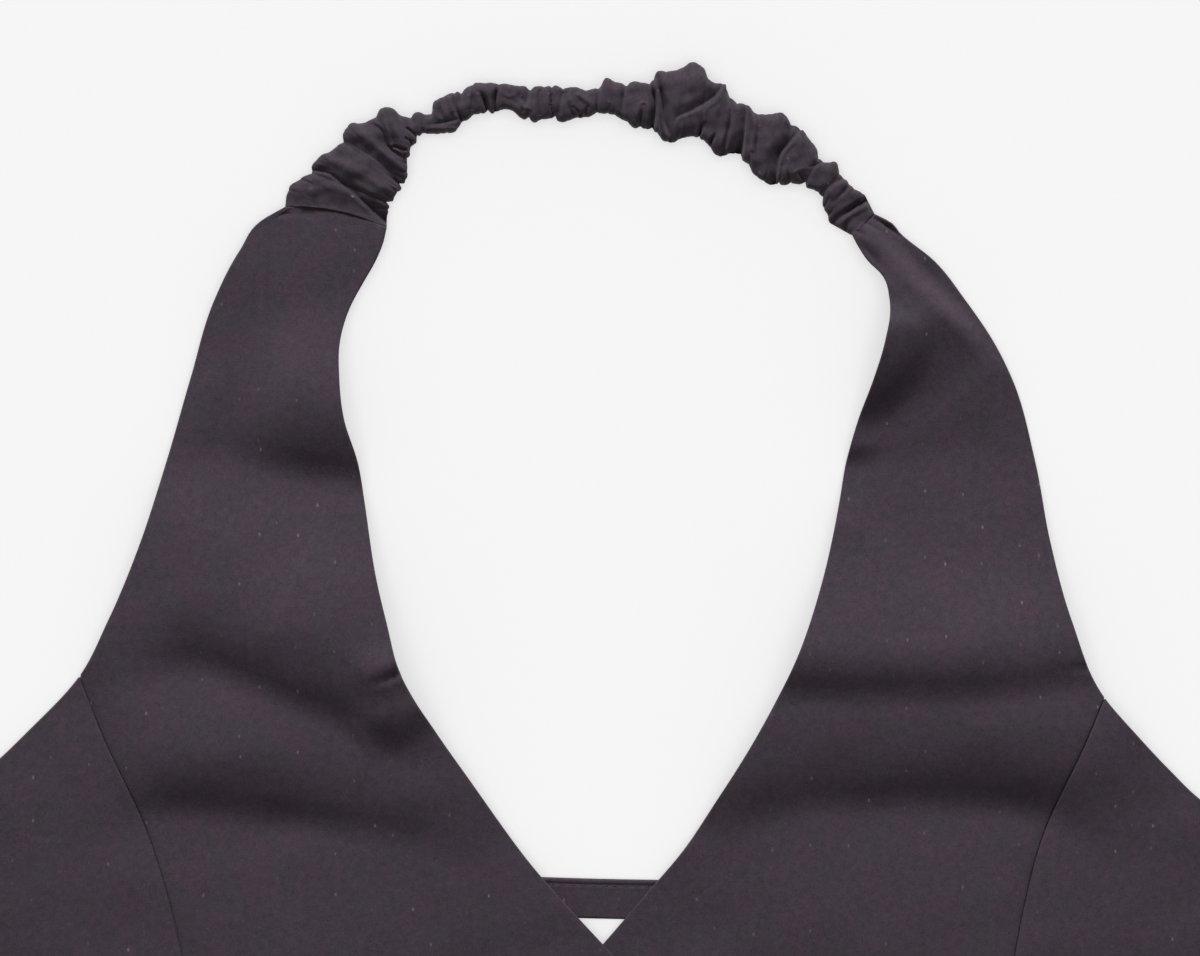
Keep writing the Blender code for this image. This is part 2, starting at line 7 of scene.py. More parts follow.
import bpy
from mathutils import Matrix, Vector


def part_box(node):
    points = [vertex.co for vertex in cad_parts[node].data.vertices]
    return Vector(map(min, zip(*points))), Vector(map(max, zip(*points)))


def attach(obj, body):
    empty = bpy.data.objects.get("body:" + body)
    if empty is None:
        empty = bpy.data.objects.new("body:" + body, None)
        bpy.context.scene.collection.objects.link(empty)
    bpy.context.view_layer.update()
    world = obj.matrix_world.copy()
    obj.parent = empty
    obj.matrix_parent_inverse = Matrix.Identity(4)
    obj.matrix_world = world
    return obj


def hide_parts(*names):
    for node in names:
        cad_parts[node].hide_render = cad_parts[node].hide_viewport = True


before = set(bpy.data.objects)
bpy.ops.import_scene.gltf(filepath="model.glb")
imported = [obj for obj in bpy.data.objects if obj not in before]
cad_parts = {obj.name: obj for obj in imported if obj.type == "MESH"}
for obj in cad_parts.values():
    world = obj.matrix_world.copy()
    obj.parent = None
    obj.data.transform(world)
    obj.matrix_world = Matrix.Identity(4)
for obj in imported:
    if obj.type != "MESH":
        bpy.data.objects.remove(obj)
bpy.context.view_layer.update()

# %% Tools
import math
from collections import namedtuple

import bpy
import numpy as np
from mathutils import Matrix, Vector

MM = 0.001
CM_PER_MM = 0.1
scene = bpy.context.scene


def collection(name):
    """A new collection in the scene."""
    made = bpy.data.collections.new(name)
    scene.collection.children.link(made)
    return made


def add_object(name, data, holder=scene.collection):
    """A new object in a collection."""
    made = bpy.data.objects.new(name, data)
    holder.objects.link(made)
    return made


garment = collection("garment")

# %% [markdown]
# ## The cut of the pieces
# A maker works from paper patterns, so the outline of each piece is its cut edges and nothing else.
# Every edge is a short list of (y, x) places in millimetres, read through a smooth curve. The same
# edges gave the solids, so the shells lie where the solids are.

# %% Edges, as (y, x) from top to bottom
WALL = 1.2            # suiting with its turned edge
SEAM_GAP = -0.04      # two pieces that are sewn together press into each other along the seam
LAYER_GAP = 0.35      # between cloth and the cloth that it lies on
HEM_Y = -229.0
STAND = 16.0          # the button stand, past the centre
STAND_TOP = -61.0
SEAM_BOW = 2.2        # how far the seam of the right front and the neck strap curves up

NECK_RIGHT = (
    (178.0, -67.0), (173.5, -68.0), (167.5, -70.5), (160.5, -74.5), (154.0, -78.0),
    (143.0, -81.3), (131.0, -81.4), (118.5, -79.9), (105.5, -75.9), (93.5, -73.9),
    (69.0, -69.9), (56.5, -66.9), (39.0, -61.9), (21.5, -51.4), (7.0, -41.3),
    (-19.0, -22.5), (-44.0, 0.0), (STAND_TOP, STAND),
)
NECK_LEFT = (
    (175.8, 77.0), (172.0, 79.0), (167.5, 82.0), (163.5, 86.0), (155.5, 88.5),
    (143.0, 87.0), (131.0, 83.5), (118.5, 79.0), (106.0, 75.5), (93.5, 73.3),
    (69.0, 67.9), (44.0, 59.4), (18.0, 46.0), (1.0, 35.4), (-14.5, 25.2),
    (-30.0, 12.0), (-44.0, 0.0), (STAND_TOP, -STAND),
)
ARMHOLE_RIGHT = (
    (184.5, -98.5), (180.5, -105.5), (171.0, -112.5), (155.5, -120.5), (131.0, -128.0),
    (106.0, -135.2), (81.0, -143.0), (56.5, -153.2), (39.0, -162.4), (21.5, -178.8),
    (12.5, -188.2), (3.5, -199.6), (-3.0, -212.0),
)
ARMHOLE_LEFT = (
    (182.4, 84.0), (179.5, 89.5), (176.5, 92.0), (168.0, 102.5), (155.5, 112.5),
    (143.0, 121.0), (131.0, 127.0), (106.0, 134.0), (81.0, 138.5), (56.5, 144.8),
    (32.5, 155.2), (20.0, 166.1), (10.0, 175.6), (0.5, 185.6), (-8.5, 199.6),
    (-13.0, 212.0),
)
PRINCESS_RIGHT = (
    (39.0, -162.4), (21.5, -155.5), (-5.0, -143.0), (-32.0, -134.0), (-47.0, -130.5),
    (-95.0, -119.5), (-139.0, -115.0), (HEM_Y, -122.0),
)
PRINCESS_LEFT = (
    (32.5, 155.2), (18.0, 149.0), (1.0, 141.0), (-14.5, 135.0), (-30.0, 131.0),
    (-47.5, 127.5), (-95.0, 119.0), (-139.0, 115.0), (HEM_Y, 122.0),
)
SIDE_RIGHT = (
    (-3.0, -212.0), (-45.0, -205.0), (-95.0, -194.0), (-139.0, -190.0), (-185.0, -196.0),
    (HEM_Y, -204.0),
)
SIDE_LEFT = (
    (-13.0, 212.0), (-45.0, 205.5), (-95.0, 194.0), (-139.0, 190.0), (-185.0, 196.0),
    (HEM_Y, 204.0),
)
STAND_RIGHT = ((STAND_TOP, STAND), (-145.0, STAND), (HEM_Y, STAND))
STAND_LEFT = ((STAND_TOP, -STAND), (-145.0, -STAND), (HEM_Y, -STAND))

# Each piece: its outer and inner edge as (edge, the y that it runs down to, x moved for the seam),
# and its rows as (outer y, inner y, share of the piece's rows), from top to bottom
PANELS = {
    "front_right": {
        "outer": ((ARMHOLE_RIGHT, 39.0, 0.0), (PRINCESS_RIGHT, HEM_Y, SEAM_GAP / 2)),
        "inner": ((NECK_RIGHT, STAND_TOP, 0.0), (STAND_RIGHT, HEM_Y, 0.0)),
        "rows": ((184.5, 178.0, 24), (39.0, 36.0, 16), (-50.0, STAND_TOP, 20), (-226.5, HEM_Y, 0)),
        "grid": (280, 110),
        "bow": SEAM_BOW,
    },
    "front_left": {
        "outer": ((ARMHOLE_LEFT, 32.5, 0.0), (PRINCESS_LEFT, HEM_Y, -SEAM_GAP / 2)),
        "inner": ((NECK_LEFT, STAND_TOP, 0.0), (STAND_LEFT, HEM_Y, 0.0)),
        "rows": ((182.4, 175.8, 28), (32.5, 30.0, 15), (-52.0, STAND_TOP, 20), (-226.5, HEM_Y, 0)),
        "grid": (260, 105),
    },
    "side_front_right": {
        "outer": ((ARMHOLE_RIGHT, -3.0, 0.0), (SIDE_RIGHT, HEM_Y, 0.0)),
        "inner": ((PRINCESS_RIGHT, HEM_Y, -SEAM_GAP / 2),),
        "rows": ((38.7, 38.7, 8), (-3.0, -10.0, 8), (-50.0, -50.0, 14), (-223.0, -226.5, 0)),
        "grid": (150, 60),
    },
    "side_front_left": {
        "outer": ((ARMHOLE_LEFT, -13.0, 0.0), (SIDE_LEFT, HEM_Y, 0.0)),
        "inner": ((PRINCESS_LEFT, HEM_Y, SEAM_GAP / 2),),
        "rows": ((32.1, 32.1, 8), (-13.0, -18.0, 7), (-52.0, -52.0, 14), (-223.0, -226.5, 0)),
        "grid": (150, 60),
    },
}
print("cut pieces of the front:", ", ".join(PANELS))


# %% Smooth curves and edges
ROUNDING = 1e-6         # by which a row at the end of an edge may miss it


def curve(knots, values, at, flat_ends=False):
    """A smooth curve through the values at their knots, read at one place or at many."""
    slopes = np.gradient(values, knots)
    if flat_ends:
        slopes[0] = slopes[-1] = 0.0
    i = np.clip(np.searchsorted(knots, at) - 1, 0, len(knots) - 2)
    span = knots[i + 1] - knots[i]
    t = (at - knots[i]) / span
    start = (2 * t ** 3 - 3 * t ** 2 + 1) * values[i] + (t ** 3 - 2 * t ** 2 + t) * span * slopes[i]
    end = (3 * t ** 2 - 2 * t ** 3) * values[i + 1] + (t ** 3 - t ** 2) * span * slopes[i + 1]
    return start + end


def edge_x(edge, y):
    """The x of an edge at y."""
    ys, xs = np.array(edge)[::-1].T
    return curve(ys, xs, y)


def chain_x(chain, y):
    """The x at y on edges that follow each other down the piece."""
    x = None
    for edge, down_to, moved in reversed(chain):
        here = edge_x(edge, y) + moved
        x = here if x is None else np.where(y >= down_to - ROUNDING, here, x)
    return x


def smooth_step(value, start, end):
    """0 before start, 1 past end, and a soft S between."""
    t = np.clip((value - start) / (end - start), 0.0, 1.0)
    return t * t * (3.0 - 2.0 * t)


def step_lengths(points, axis=0):
    """The distance from each point to the next."""
    return np.linalg.norm(np.diff(points, axis=axis), axis=-1)


def running(steps):
    """The length run so far, from 0 to the whole."""
    return np.concatenate([[0.0], np.cumsum(steps)])


print("neck opening at its widest:",
      round(float(edge_x(NECK_LEFT, 155.5) - edge_x(NECK_RIGHT, 155.5)), 1), "mm")

# %% [markdown]
# ## What the fronts lie on
# The table is at height 0. The back strap and the back panel lie on it, and the fronts lie on them,
# so the fronts rise a little over the strap and settle again. The right front laps over the left.

# %% Layers under the fronts
STRAP_WALL = 1.6      # the back strap is folded to four layers
STRAP_TOP_Y = -23.9
STRAP_TILT = -0.0236
STRAP_SAG = 3.6e-4
STRAP_WIDTH = 12.4
STRAP_HALF_LENGTH = 208.0
RISE_ABOVE_STRAP = 70.0
FALL_BELOW_STRAP = 50.0
STRAP_SHOULDER = 2.0
OVERLAP_START = -34.0
OVERLAP_FULL = -20.0
OVERLAP_ROOM = 0.15


def strap_top(x):
    """The upper edge of the back strap."""
    return STRAP_TOP_Y + STRAP_TILT * x + STRAP_SAG * x ** 2


def rest_height(x, y):
    """The table, the back strap or the back panel under the fronts, with the room to them."""
    over_strap = STRAP_WALL + LAYER_GAP
    over_back = WALL + LAYER_GAP
    below_top = strap_top(x) - y
    on_strap = over_strap * smooth_step(below_top, -RISE_ABOVE_STRAP, -STRAP_SHOULDER)
    settled = smooth_step(below_top, STRAP_WIDTH + STRAP_SHOULDER, FALL_BELOW_STRAP)
    return on_strap - (over_strap - over_back) * settled


def overlap_lift(x):
    """How far the upper front stands over the lower one near the centre."""
    return (WALL + LAYER_GAP + OVERLAP_ROOM) * smooth_step(x, OVERLAP_START, OVERLAP_FULL)


# %% [markdown]
# ## Folds
# Suiting that is laid down by hand keeps a few soft rolls that have slumped towards the hem. Cloth
# simulation would give folds in other places each time the cut changes, so the large ones are
# listed one by one: each has a foot line, heights along it, a rounded face and a long soft back.

# %% Folds, listed one by one
# A fold's foot curves over its own last value, in mm, to either side; most feet are soft.
Fold = namedtuple("Fold", "places heights face back foot", defaults=(4.5,))
FOLDS = (
    # right front: below the shoulder, the two across the bust, their short side creases
    Fold(((-122, 108.5), (-99, 103.5), (-74, 99)), (3.0, 8.4, 9.2), 22.0, 24.0),
    Fold(
        ((-150, 36), (-126, 42.5), (-108, 36), (-91, 29.5), (-77, 23), (-68, 17.5)),
        (2.6, 9.0, 12.4, 12.6, 9.8, 5.4), 25.0, 36.0,
    ),
    Fold(((-71, 15), (-63, 19.5), (-53, 26)), (1.0, 2.8, 2.8), 8.0, 6.0),
    Fold(((-75, 30), (-67, 33.5), (-60, 36.5)), (0.0, 2.8, 3.8), 7.0, 7.0),
    Fold(
        ((-152, -6), (-134, -2.5), (-108, -4.2), (-86, -7.2), (-60, -12), (-28, -24)),
        (0.8, 7.0, 8.0, 7.4, 4.6, 0.2), 22.0, 34.0,
    ),
    # left front: its outer edge rolls over, then the pool under it and creases at the edge
    Fold(
        ((122.5, 140.5), (113, 150.5), (106, 157), (98, 165), (89, 174.5)),
        (1.8, 5.2, 6.6, 6.2, 4.2), 6.5, 34.0, 2.2,
    ),
    Fold(
        ((68, 109), (79, 115.5), (90, 123.5), (98.5, 134), (103, 145), (104.5, 156)),
        (5.0, 7.8, 8.6, 8.4, 6.6, 1.4), 25.0, 14.0, 3.4,
    ),
    Fold(((76, 176), (81, 171.5), (86, 166), (88.5, 158)), (1.2, 1.5, 0.9, 0.0), 5.0, 26.0, 1.8),
    Fold(((72, 106), (80, 106.5), (90, 108)), (2.2, 1.8, 0.2), 5.0, 8.0, 2.6),
    Fold(((71, 81), (78.5, 80), (85, 80)), (1.2, 1.0, 0.0), 6.0, 9.0),
    Fold(
        ((54, 34), (75, 33.5), (92, 33.5), (112, 33.5), (152, 38)),
        (6.8, 7.2, 6.8, 6.8, 5.4), 16.5, 38.0,
    ),
    Fold(
        ((36, -18), (48, -6.5), (66, -1), (100, 0), (124, -0.8), (142, -6.5), (168, -20)),
        (1.0, 6.0, 7.8, 8.8, 9.8, 6.0, 0.4), 28.0, 32.0,
    ),
    # quieter ones down to the hem
    Fold(((-152, -76), (-95, -64), (-34, -78)), (0.8, 3.2, 0.0), 17.0, 34.0),
    Fold(((-188, -144), (-110, -131), (-42, -144)), (0.6, 2.8, 0.0), 18.0, 34.0),
    Fold(((34, -72), (92, -64), (168, -84)), (0.0, 3.2, 0.8), 17.0, 34.0),
    Fold(((44, -144), (110, -131), (192, -154)), (0.0, 2.8, 0.8), 18.0, 34.0),
)
LINE_STEPS = 24       # straight pieces of a line from one of its places to the next
FOLD_END_REACH = 0.4


def beside_line(places, values, x, y, steps_each=LINE_STEPS):
    """How far each point lies left of a smooth line, how far past its ends, and its value."""
    knots = np.arange(len(places), dtype=float)
    steps = np.linspace(0.0, knots[-1], steps_each * (len(knots) - 1) + 1)
    xs, ys = np.array(places, float).T
    line = np.stack([curve(knots, xs, steps), curve(knots, ys, steps)], axis=1)
    values = curve(knots, np.array(values, float), steps, flat_ends=True)
    pieces = np.diff(line, axis=0)
    lengths = np.linalg.norm(pieces, axis=1)
    units = pieces / lengths[:, None]
    off = np.stack([x, y], axis=-1)[..., None, :] - line[:-1]
    run = np.sum(off * units, axis=-1)
    past = run - np.clip(run, 0.0, lengths)
    beside = units[:, 0] * off[..., 1] - units[:, 1] * off[..., 0]
    nearest = np.argmin(beside ** 2 + past ** 2, axis=-1)[..., None]
    run, past, beside = (np.take_along_axis(a, nearest, -1)[..., 0] for a in (run, past, beside))
    nearest = nearest[..., 0]
    share = np.clip(run / lengths[nearest], 0.0, 1.0)
    return beside, past, values[nearest] * (1.0 - share) + values[nearest + 1] * share


def fold_rise(fold, x, y):
    """How far one fold lifts the cloth at each point."""
    beside, past, height = beside_line(fold.places, fold.heights, x, y)
    from_foot = np.where(beside < fold.foot, (beside + fold.foot) ** 2 / (4 * fold.foot), beside)
    from_foot = np.where(beside < -fold.foot, 0.0, from_foot)
    rounded = 1.0 - np.maximum(1.0 - from_foot / fold.face, 0.0) ** 2
    behind = np.maximum(beside - fold.face, 0.0) / fold.back
    return height * rounded * np.exp(-behind ** 2 - (past / (fold.back * FOLD_END_REACH)) ** 2)


# %% Sharp creases on the fronts
# A crease runs through its places; "left" and "right" are how far it opens to either side.
Crease = namedtuple("Crease", "places depths left right")
CREASE_CUSP = 1.5       # 1 is a plain V; more is sharper below and softer above
CREASE_STEPS = 8
FRONT_CREASES = (
    # under the first lobe of the neck strap, where the front's top edge stands up a little
    Crease(((-98.5, 182.9), (-92, 182.9), (-86, 182)), (1.0, 1.2, 0.0), 0.8, 0.9),
    # short ones at the neck edge and at the armhole
    Crease(((-74, 35.5), (-67, 38), (-60, 41.5)), (0.0, 1.6, 2.6), 4.0, 1.4),
    Crease(((138, 41), (151, 41.5)), (0.0, 0.8), 3.0, 1.6),
    # where the left front runs into the neck strap: a slot at its outer edge, puckers at its inner
    Crease(((84.5, 180.5), (88, 178.4), (91.5, 175.8)), (0.6, 1.7, 1.2), 1.6, 0.9),
    Crease(((79, 173), (82.5, 170), (86, 165)), (0.5, 0.7, 0.0), 2.0, 2.8),
    Crease(((78, 177.2), (82, 175.6), (86, 175.4)), (0.7, 0.5, 0.0), 1.0, 1.2),
    Crease(((79.5, 180), (83, 178.6), (87, 176)), (0.5, 0.5, 0.0), 1.0, 1.0),
)


def crease_profile(crease, x, y, cusp=True):
    """One crease's depth at each point, or a rim's height where cusp is off."""
    low = np.min(crease.places, axis=0) - max(crease.left, crease.right)
    high = np.max(crease.places, axis=0) + max(crease.left, crease.right)
    near = (x > low[0]) & (x < high[0]) & (y > low[1]) & (y < high[1])
    depth = np.zeros_like(x)
    beside, past, value = beside_line(crease.places, crease.depths, x[near], y[near], CREASE_STEPS)
    away = np.hypot(beside, past) / np.where(beside > 0.0, crease.left, crease.right)
    inside = np.clip(1.0 - away, 0.0, 1.0)
    depth[near] = value * (inside ** CREASE_CUSP if cusp else smooth_step(inside, 0.0, 1.0))
    return depth


print(len(FOLDS), "folds and", len(FRONT_CREASES), "sharp creases on the fronts")

# %% [markdown]
# ## The cloth's own unevenness
# Pressed suiting is never quite flat. Some two dozen faint waves in all directions give the light
# something to play on. They are drawn with a seed, so that each run gives the same cloth.

# %% Faint waves
WAVE_COUNT = 26
WAVE_LENGTHS = (11.0, 46.0)
WAVE_SLOPE = 0.011      # steepness of each wave
WAVE_SEED = 11
wave_draw = np.random.default_rng(WAVE_SEED)
wave_turns = wave_draw.uniform(0.0, math.pi, WAVE_COUNT)
wave_lengths = wave_draw.uniform(*WAVE_LENGTHS, WAVE_COUNT)
wave_phases = wave_draw.uniform(0.0, 2.0 * math.pi, WAVE_COUNT)


def faint_waves(x, y):
    """The small rise and fall of pressed cloth."""
    rise = np.zeros_like(x)
    for turn, length, phase in zip(wave_turns, wave_lengths, wave_phases):
        along = x * math.cos(turn) + y * math.sin(turn)
        rise += WAVE_SLOPE * length / (2 * math.pi) * np.sin(2 * math.pi * along / length + phase)
    return rise


SEAM_TROUGH = 0.3       # a pressed seam lies a little lower than the cloth beside it
SEAM_TROUGH_HALF = 2.6
HALTER_RISE = (3.2, 1.6)          # how far the right and the left front climb on to the neck strap
HALTER_RISE_YS = (108.0, 181.0)   # and from where to where


def from_seam(x, y):
    """The distance to the nearer of the two princess seams."""
    away = []
    for seam in (PRINCESS_RIGHT, PRINCESS_LEFT):
        top = seam[0][0]
        away.append(np.hypot(x - edge_x(seam, np.minimum(y, top)), np.maximum(y - top, 0.0)))
    return np.minimum(*away)


def cloth_height(x, y):
    """The underside of the fronts: what they lie on, their folds, faint waves and pressed seams."""
    x, y = np.atleast_1d(np.asarray(x, float)), np.atleast_1d(np.asarray(y, float))
    folds = sum(fold_rise(fold, x, y) for fold in FOLDS)
    creases = sum(crease_profile(crease, x, y) for crease in FRONT_CREASES)
    trough = SEAM_TROUGH * np.exp(-(from_seam(x, y) / SEAM_TROUGH_HALF) ** 2)
    climb = np.where(x < 0.0, *HALTER_RISE) * smooth_step(y, *HALTER_RISE_YS)
    return rest_height(x, y) + folds + climb + faint_waves(x, y) - trough - creases


print("cloth height over the strap at the centre:", np.round(cloth_height(0.0, -50.0), 2), "mm")

# %% [markdown]
# ## From a cut piece to a shell
# A turned edge is a fold of cloth, so it is round, not square. A solidified sheet would have sharp
# rims; here each piece is one closed skin instead. Its upper and lower side share the edge, and the
# half thickness grows from 0 at the edge to its full value over the edge's own radius.

# %% Shell helpers
EDGE_STEPS = 5


def spaced(length, roll, count):
    """Places along a length, crowded at both ends where the edge turns over."""
    turn = np.linspace(0.0, math.pi / 2, EDGE_STEPS + 1)[:-1]
    near = roll * (1.0 - np.cos(turn))
    middle = np.linspace(roll, length - roll, count)
    return np.concatenate([near, middle, (length - near)[::-1]])


def rounded_half(inside, roll, half):
    """Half the thickness at a distance inside the edge."""
    near = 1.0 - np.clip(inside / roll, 0.0, 1.0)
    return half * np.sqrt(np.maximum(1.0 - near ** 2, 0.0))


def cloth_mesh(name, points, faces, grain):
    """A smooth mesh from points in mm; grain is each point's place on the flat cloth, in mm too."""
    mesh = bpy.data.meshes.new(name)
    mesh.from_pydata((points * MM).tolist(), [], faces.tolist())
    layer = mesh.uv_layers.new(name="grain")
    layer.data.foreach_set("uv", (grain * CM_PER_MM)[faces.ravel()].astype(np.float32).ravel())
    mesh.shade_smooth()
    return mesh


def shell_mesh(name, x, y, middle, half, grain=None, relief=0.0):
    """A closed skin, half a wall above and below the middle height, from grids of values."""
    upper = np.stack([x, y, middle + half + relief], axis=-1)
    lower = np.stack([x, y, middle - half], axis=-1)
    grain = upper[..., :2] if grain is None else grain
    rows, columns = x.shape
    top = np.arange(x.size).reshape(x.shape)
    bottom = top.copy()
    bottom[1:-1, 1:-1] = x.size + np.arange((rows - 2) * (columns - 2)).reshape(rows - 2, -1)
    corners = [(0, 0), (0, 1), (1, 1), (1, 0)]
    quads = []
    for grid, order in ((top, corners), (bottom, corners[::-1])):
        parts = [grid[i:rows - 1 + i, j:columns - 1 + j].ravel() for i, j in order]
        quads.append(np.stack(parts, axis=1))
    faces = np.concatenate(quads)
    row, column = rows // 2, columns // 2
    down = upper[row + 1, column] - upper[row, column]
    across = upper[row, column + 1] - upper[row, column]
    if np.cross(across, down)[2] < 0:
        faces = faces[:, ::-1]
    points = np.concatenate([upper.reshape(-1, 3), lower[1:-1, 1:-1].reshape(-1, 3)])
    grains = np.concatenate([grain.reshape(-1, 2), grain[1:-1, 1:-1].reshape(-1, 2)])
    return cloth_mesh(name, points, faces, grains)


def add_piece(name, mesh, finish, slot, *nodes):
    """A piece of the garment that rides on it and stands for its solid."""
    mesh.materials.append(finish)
    piece = add_object(name, mesh, garment)
    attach(piece, "root")
    if nodes:
        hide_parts(*nodes)
    print(f"{name}: {len(mesh.polygons)} faces")
    return piece


def plan_area(mesh):
    """Half the skin of a closed shell, in square metres: the cloth's own area."""
    areas = np.empty(len(mesh.polygons))
    mesh.polygons.foreach_get("area", areas)
    return float(areas.sum()) / 2.0


# %% [markdown]
# ## Shader maths
# Node trees are easier to read as arithmetic. One small class wraps a socket, so that an expression
# such as 1 - thread * 0.4 adds its Math nodes by itself.

# %% Wires and finishes
class Wire:
    """One output of a node."""

    def __init__(self, finish, socket):
        self.finish = finish
        self.socket = socket

    def maths(self, operation, first, second=0.0):
        return self.finish.node("ShaderNodeMath", {"operation": operation}, {0: first, 1: second})

    def __add__(self, other):
        return self.maths("ADD", self, other)

    def __radd__(self, other):
        return self.maths("ADD", other, self)

    def __sub__(self, other):
        return self.maths("SUBTRACT", self, other)

    def __rsub__(self, other):
        return self.maths("SUBTRACT", other, self)

    def __mul__(self, other):
        return self.maths("MULTIPLY", self, other)

    def __pow__(self, other):
        return self.maths("POWER", self, other)

    def sine(self):
        return self.maths("SINE", self)


class Finish:
    """A material that is being made. Every node comes from node()."""

    def __init__(self, name, **constants):
        self.material = bpy.data.materials.new(name)
        self.material.use_nodes = True
        self.tree = self.material.node_tree
        self.shader = self.tree.nodes["Principled BSDF"]
        self.feed(self.shader, {key.replace("_", " "): value for key, value in constants.items()})

    def node(self, kind, settings=None, values=None, output=0):
        """A new node with its settings and the values of its inputs, as a wire from one output."""
        made = self.tree.nodes.new(kind)
        for name, value in (settings or {}).items():
            setattr(made, name, value)
        self.feed(made, values or {})
        return Wire(self, made.outputs[output])

    def feed(self, node, values):
        """Wires go to the inputs as links, and plain values as they are."""
        for name, value in values.items():
            if isinstance(value, Wire):
                self.tree.links.new(value.socket, node.inputs[name])
            else:
                node.inputs[name].default_value = value

    def bump(self, height, strength, distance):
        return self.node(
            "ShaderNodeBump", values={"Strength": strength, "Distance": distance, "Height": height}
        )

    def mix(self, first, second, share):
        """A colour between two others."""
        return self.node(
            "ShaderNodeMix",
            {"data_type": "RGBA"},
            {"Factor": share, 6: first, 7: second},
            output=2,
        )

    def scaled(self, vector, by):
        return self.node("ShaderNodeVectorMath", {"operation": "MULTIPLY"}, {0: vector, 1: by})

    def clamped(self, value):
        return self.node("ShaderNodeClamp", values={"Value": value, "Min": 0.0, "Max": 1.0})

    def noise(self, vector, detail=2.0, roughness=0.5):
        return self.node(
            "ShaderNodeTexNoise",
            values={"Vector": vector, "Scale": 1.0, "Detail": detail, "Roughness": roughness},
        )


# %% [markdown]
# ## Suiting
# The cloth is a fine plain weave of dark plum and dark grey yarns. Close to, it shows uneven yarns,
# a mottle where they thicken together, and stray pale fibres; from afar a soft melange is left. The
# grain map is in centimetres of cloth, so the finish keeps its scale on every piece.

# %% Suiting finish
YARN_PITCH = 0.045              # cm from one yarn to the next
YARN_WANDER = 2.5               # radians of the weave by which the yarns wander
WEAVE_RELIEF = 0.00022          # metres
SHEEN_TINT = (0.80, 0.72, 0.80, 1.0)
LINT_COLOUR = (0.34, 0.31, 0.33, 1.0)
LINT_CELLS = (1.7, 1.0, 1.0)    # cells to the centimetre, with at most one fibre in each
LINT_RADIUS = 0.075             # in cells
LINT_EDGE = 1.5                 # above 1, the fibre is full to near its rim and then fades at once
LINT_RARITY = 9.0               # the higher, the fewer cells show their fibre
LINT_SHARE = 0.42               # of its own colour that the palest fibre shows


def suiting(name, plum, grey, shade, bump):
    """Plain weave: two yarn colours, uneven yarns both ways, a mottle and a little lint."""
    finish = Finish(name, IOR=1.45, Sheen_Weight=0.12, Sheen_Roughness=0.55)
    finish.feed(finish.shader, {"Sheen Tint": SHEEN_TINT, "Specular IOR Level": 0.28})
    grain = finish.node("ShaderNodeUVMap", {"uv_map": "grain"})

    def uneven(across, along, detail, roughness=0.5):
        """Noise with so many cells to the centimetre each way."""
        return finish.noise(finish.scaled(grain, (across, along, 1.0)), detail, roughness)

    wobble = uneven(9.0, 9.0, 1.0) * YARN_WANDER
    warp, weft = (
        (finish.node("ShaderNodeSeparateXYZ", values={0: grain}, output=way)
         * (2 * math.pi / YARN_PITCH) + wobble).sine()
        for way in (0, 1)
    )
    slubs = uneven(30.0, 7.0, 2.0)
    picks = uneven(7.0, 30.0, 2.0)
    specks = uneven(16.0, 16.0, 1.0)
    mottle = uneven(4.2, 3.8, 4.0, 0.7)
    clouds = uneven(0.9, 1.1, 2.0)

    # which of the two yarns leads, and how light it is
    yarn = slubs * 0.4 + picks * 0.3 + mottle * 1.0 + clouds * 1.3 - 1.0
    depth = slubs * 0.40 + picks * 0.34 + specks * 0.5 + mottle * 0.92 + clouds * 0.06 - 0.12
    # depth varies the yarns' lightness at random; shade scales the whole colour, and below 1 it is
    # painted shade
    colour = finish.node(
        "ShaderNodeVectorMath",
        {"operation": "SCALE"},
        {0: finish.mix(grey, plum, yarn), "Scale": depth * shade},
    )
    cells = finish.node(
        "ShaderNodeTexVoronoi",
        {"voronoi_dimensions": "2D"},
        {"Vector": finish.scaled(grain, LINT_CELLS), "Scale": 1.0, "Randomness": 1.0},
    )
    each = finish.node(
        "ShaderNodeSeparateColor", values={0: Wire(finish, cells.socket.node.outputs["Color"])}
    )
    spot = finish.clamped(LINT_EDGE - cells * (LINT_EDGE / LINT_RADIUS))
    colour = finish.mix(colour, LINT_COLOUR, spot * each ** LINT_RARITY * LINT_SHARE)

    surface = warp * weft * 0.25 + slubs * 0.6 + picks * 0.5 + mottle * 0.3
    finish.feed(finish.shader, {
        "Base Color": colour,
        "Roughness": 0.93 - slubs * 0.18,
        "Normal": finish.bump(surface, bump, WEAVE_RELIEF),
    })
    return finish.material


SUITING = suiting("suiting", (0.068, 0.0405, 0.062, 1.0), (0.049, 0.0445, 0.055, 1.0), 1.0, 0.55)
# The neck strap's copy is the same suiting made darker all over: painted shade of the gathered
# cloth
RUCHED_SHADED = suiting(
    "ruched_suiting", (0.064, 0.040, 0.059, 1.0), (0.047, 0.043, 0.053, 1.0), 0.97, 0.4
)
print("finishes:", SUITING.name, RUCHED_SHADED.name)

# %% [markdown]
# ## The fronts and side fronts
# Each piece is a grid between its outer and inner edge. Rows run from edge to edge, so both edges
# stay sharp however the piece narrows. A free edge is round about its middle. A sewn edge turns
# down through the whole thickness, which gives the princess seam its thin dark line. The hem is
# turned up inside, so the cloth is a little thicker there and a faint step shows where it ends.

# %% Rows and grids of the fronts
FREE_ROLL = 0.6       # how far in a free edge turns over
SEWN_ROLL = 1.15      # and a sewn one
NARROW_ROLL = 0.4     # share of its width that an edge takes where a piece runs out to a point
BOW_REACH = 14.0      # how far down the piece the bow of its top edge is felt
HEM_DEPTH = 30.0
HEM_STEP = 0.2        # how far the turned-up hem thickens the cloth
HEM_STEP_HALF = 0.5


def row_ys(panel, at):
    """Outer and inner y of the rows at shares of the piece's length."""
    stations = np.array(panel["rows"], float)
    knots = running(stations[:-1, 2])
    knots /= knots[-1]
    return np.interp(at, knots, stations[:, 0]), np.interp(at, knots, stations[:, 1])


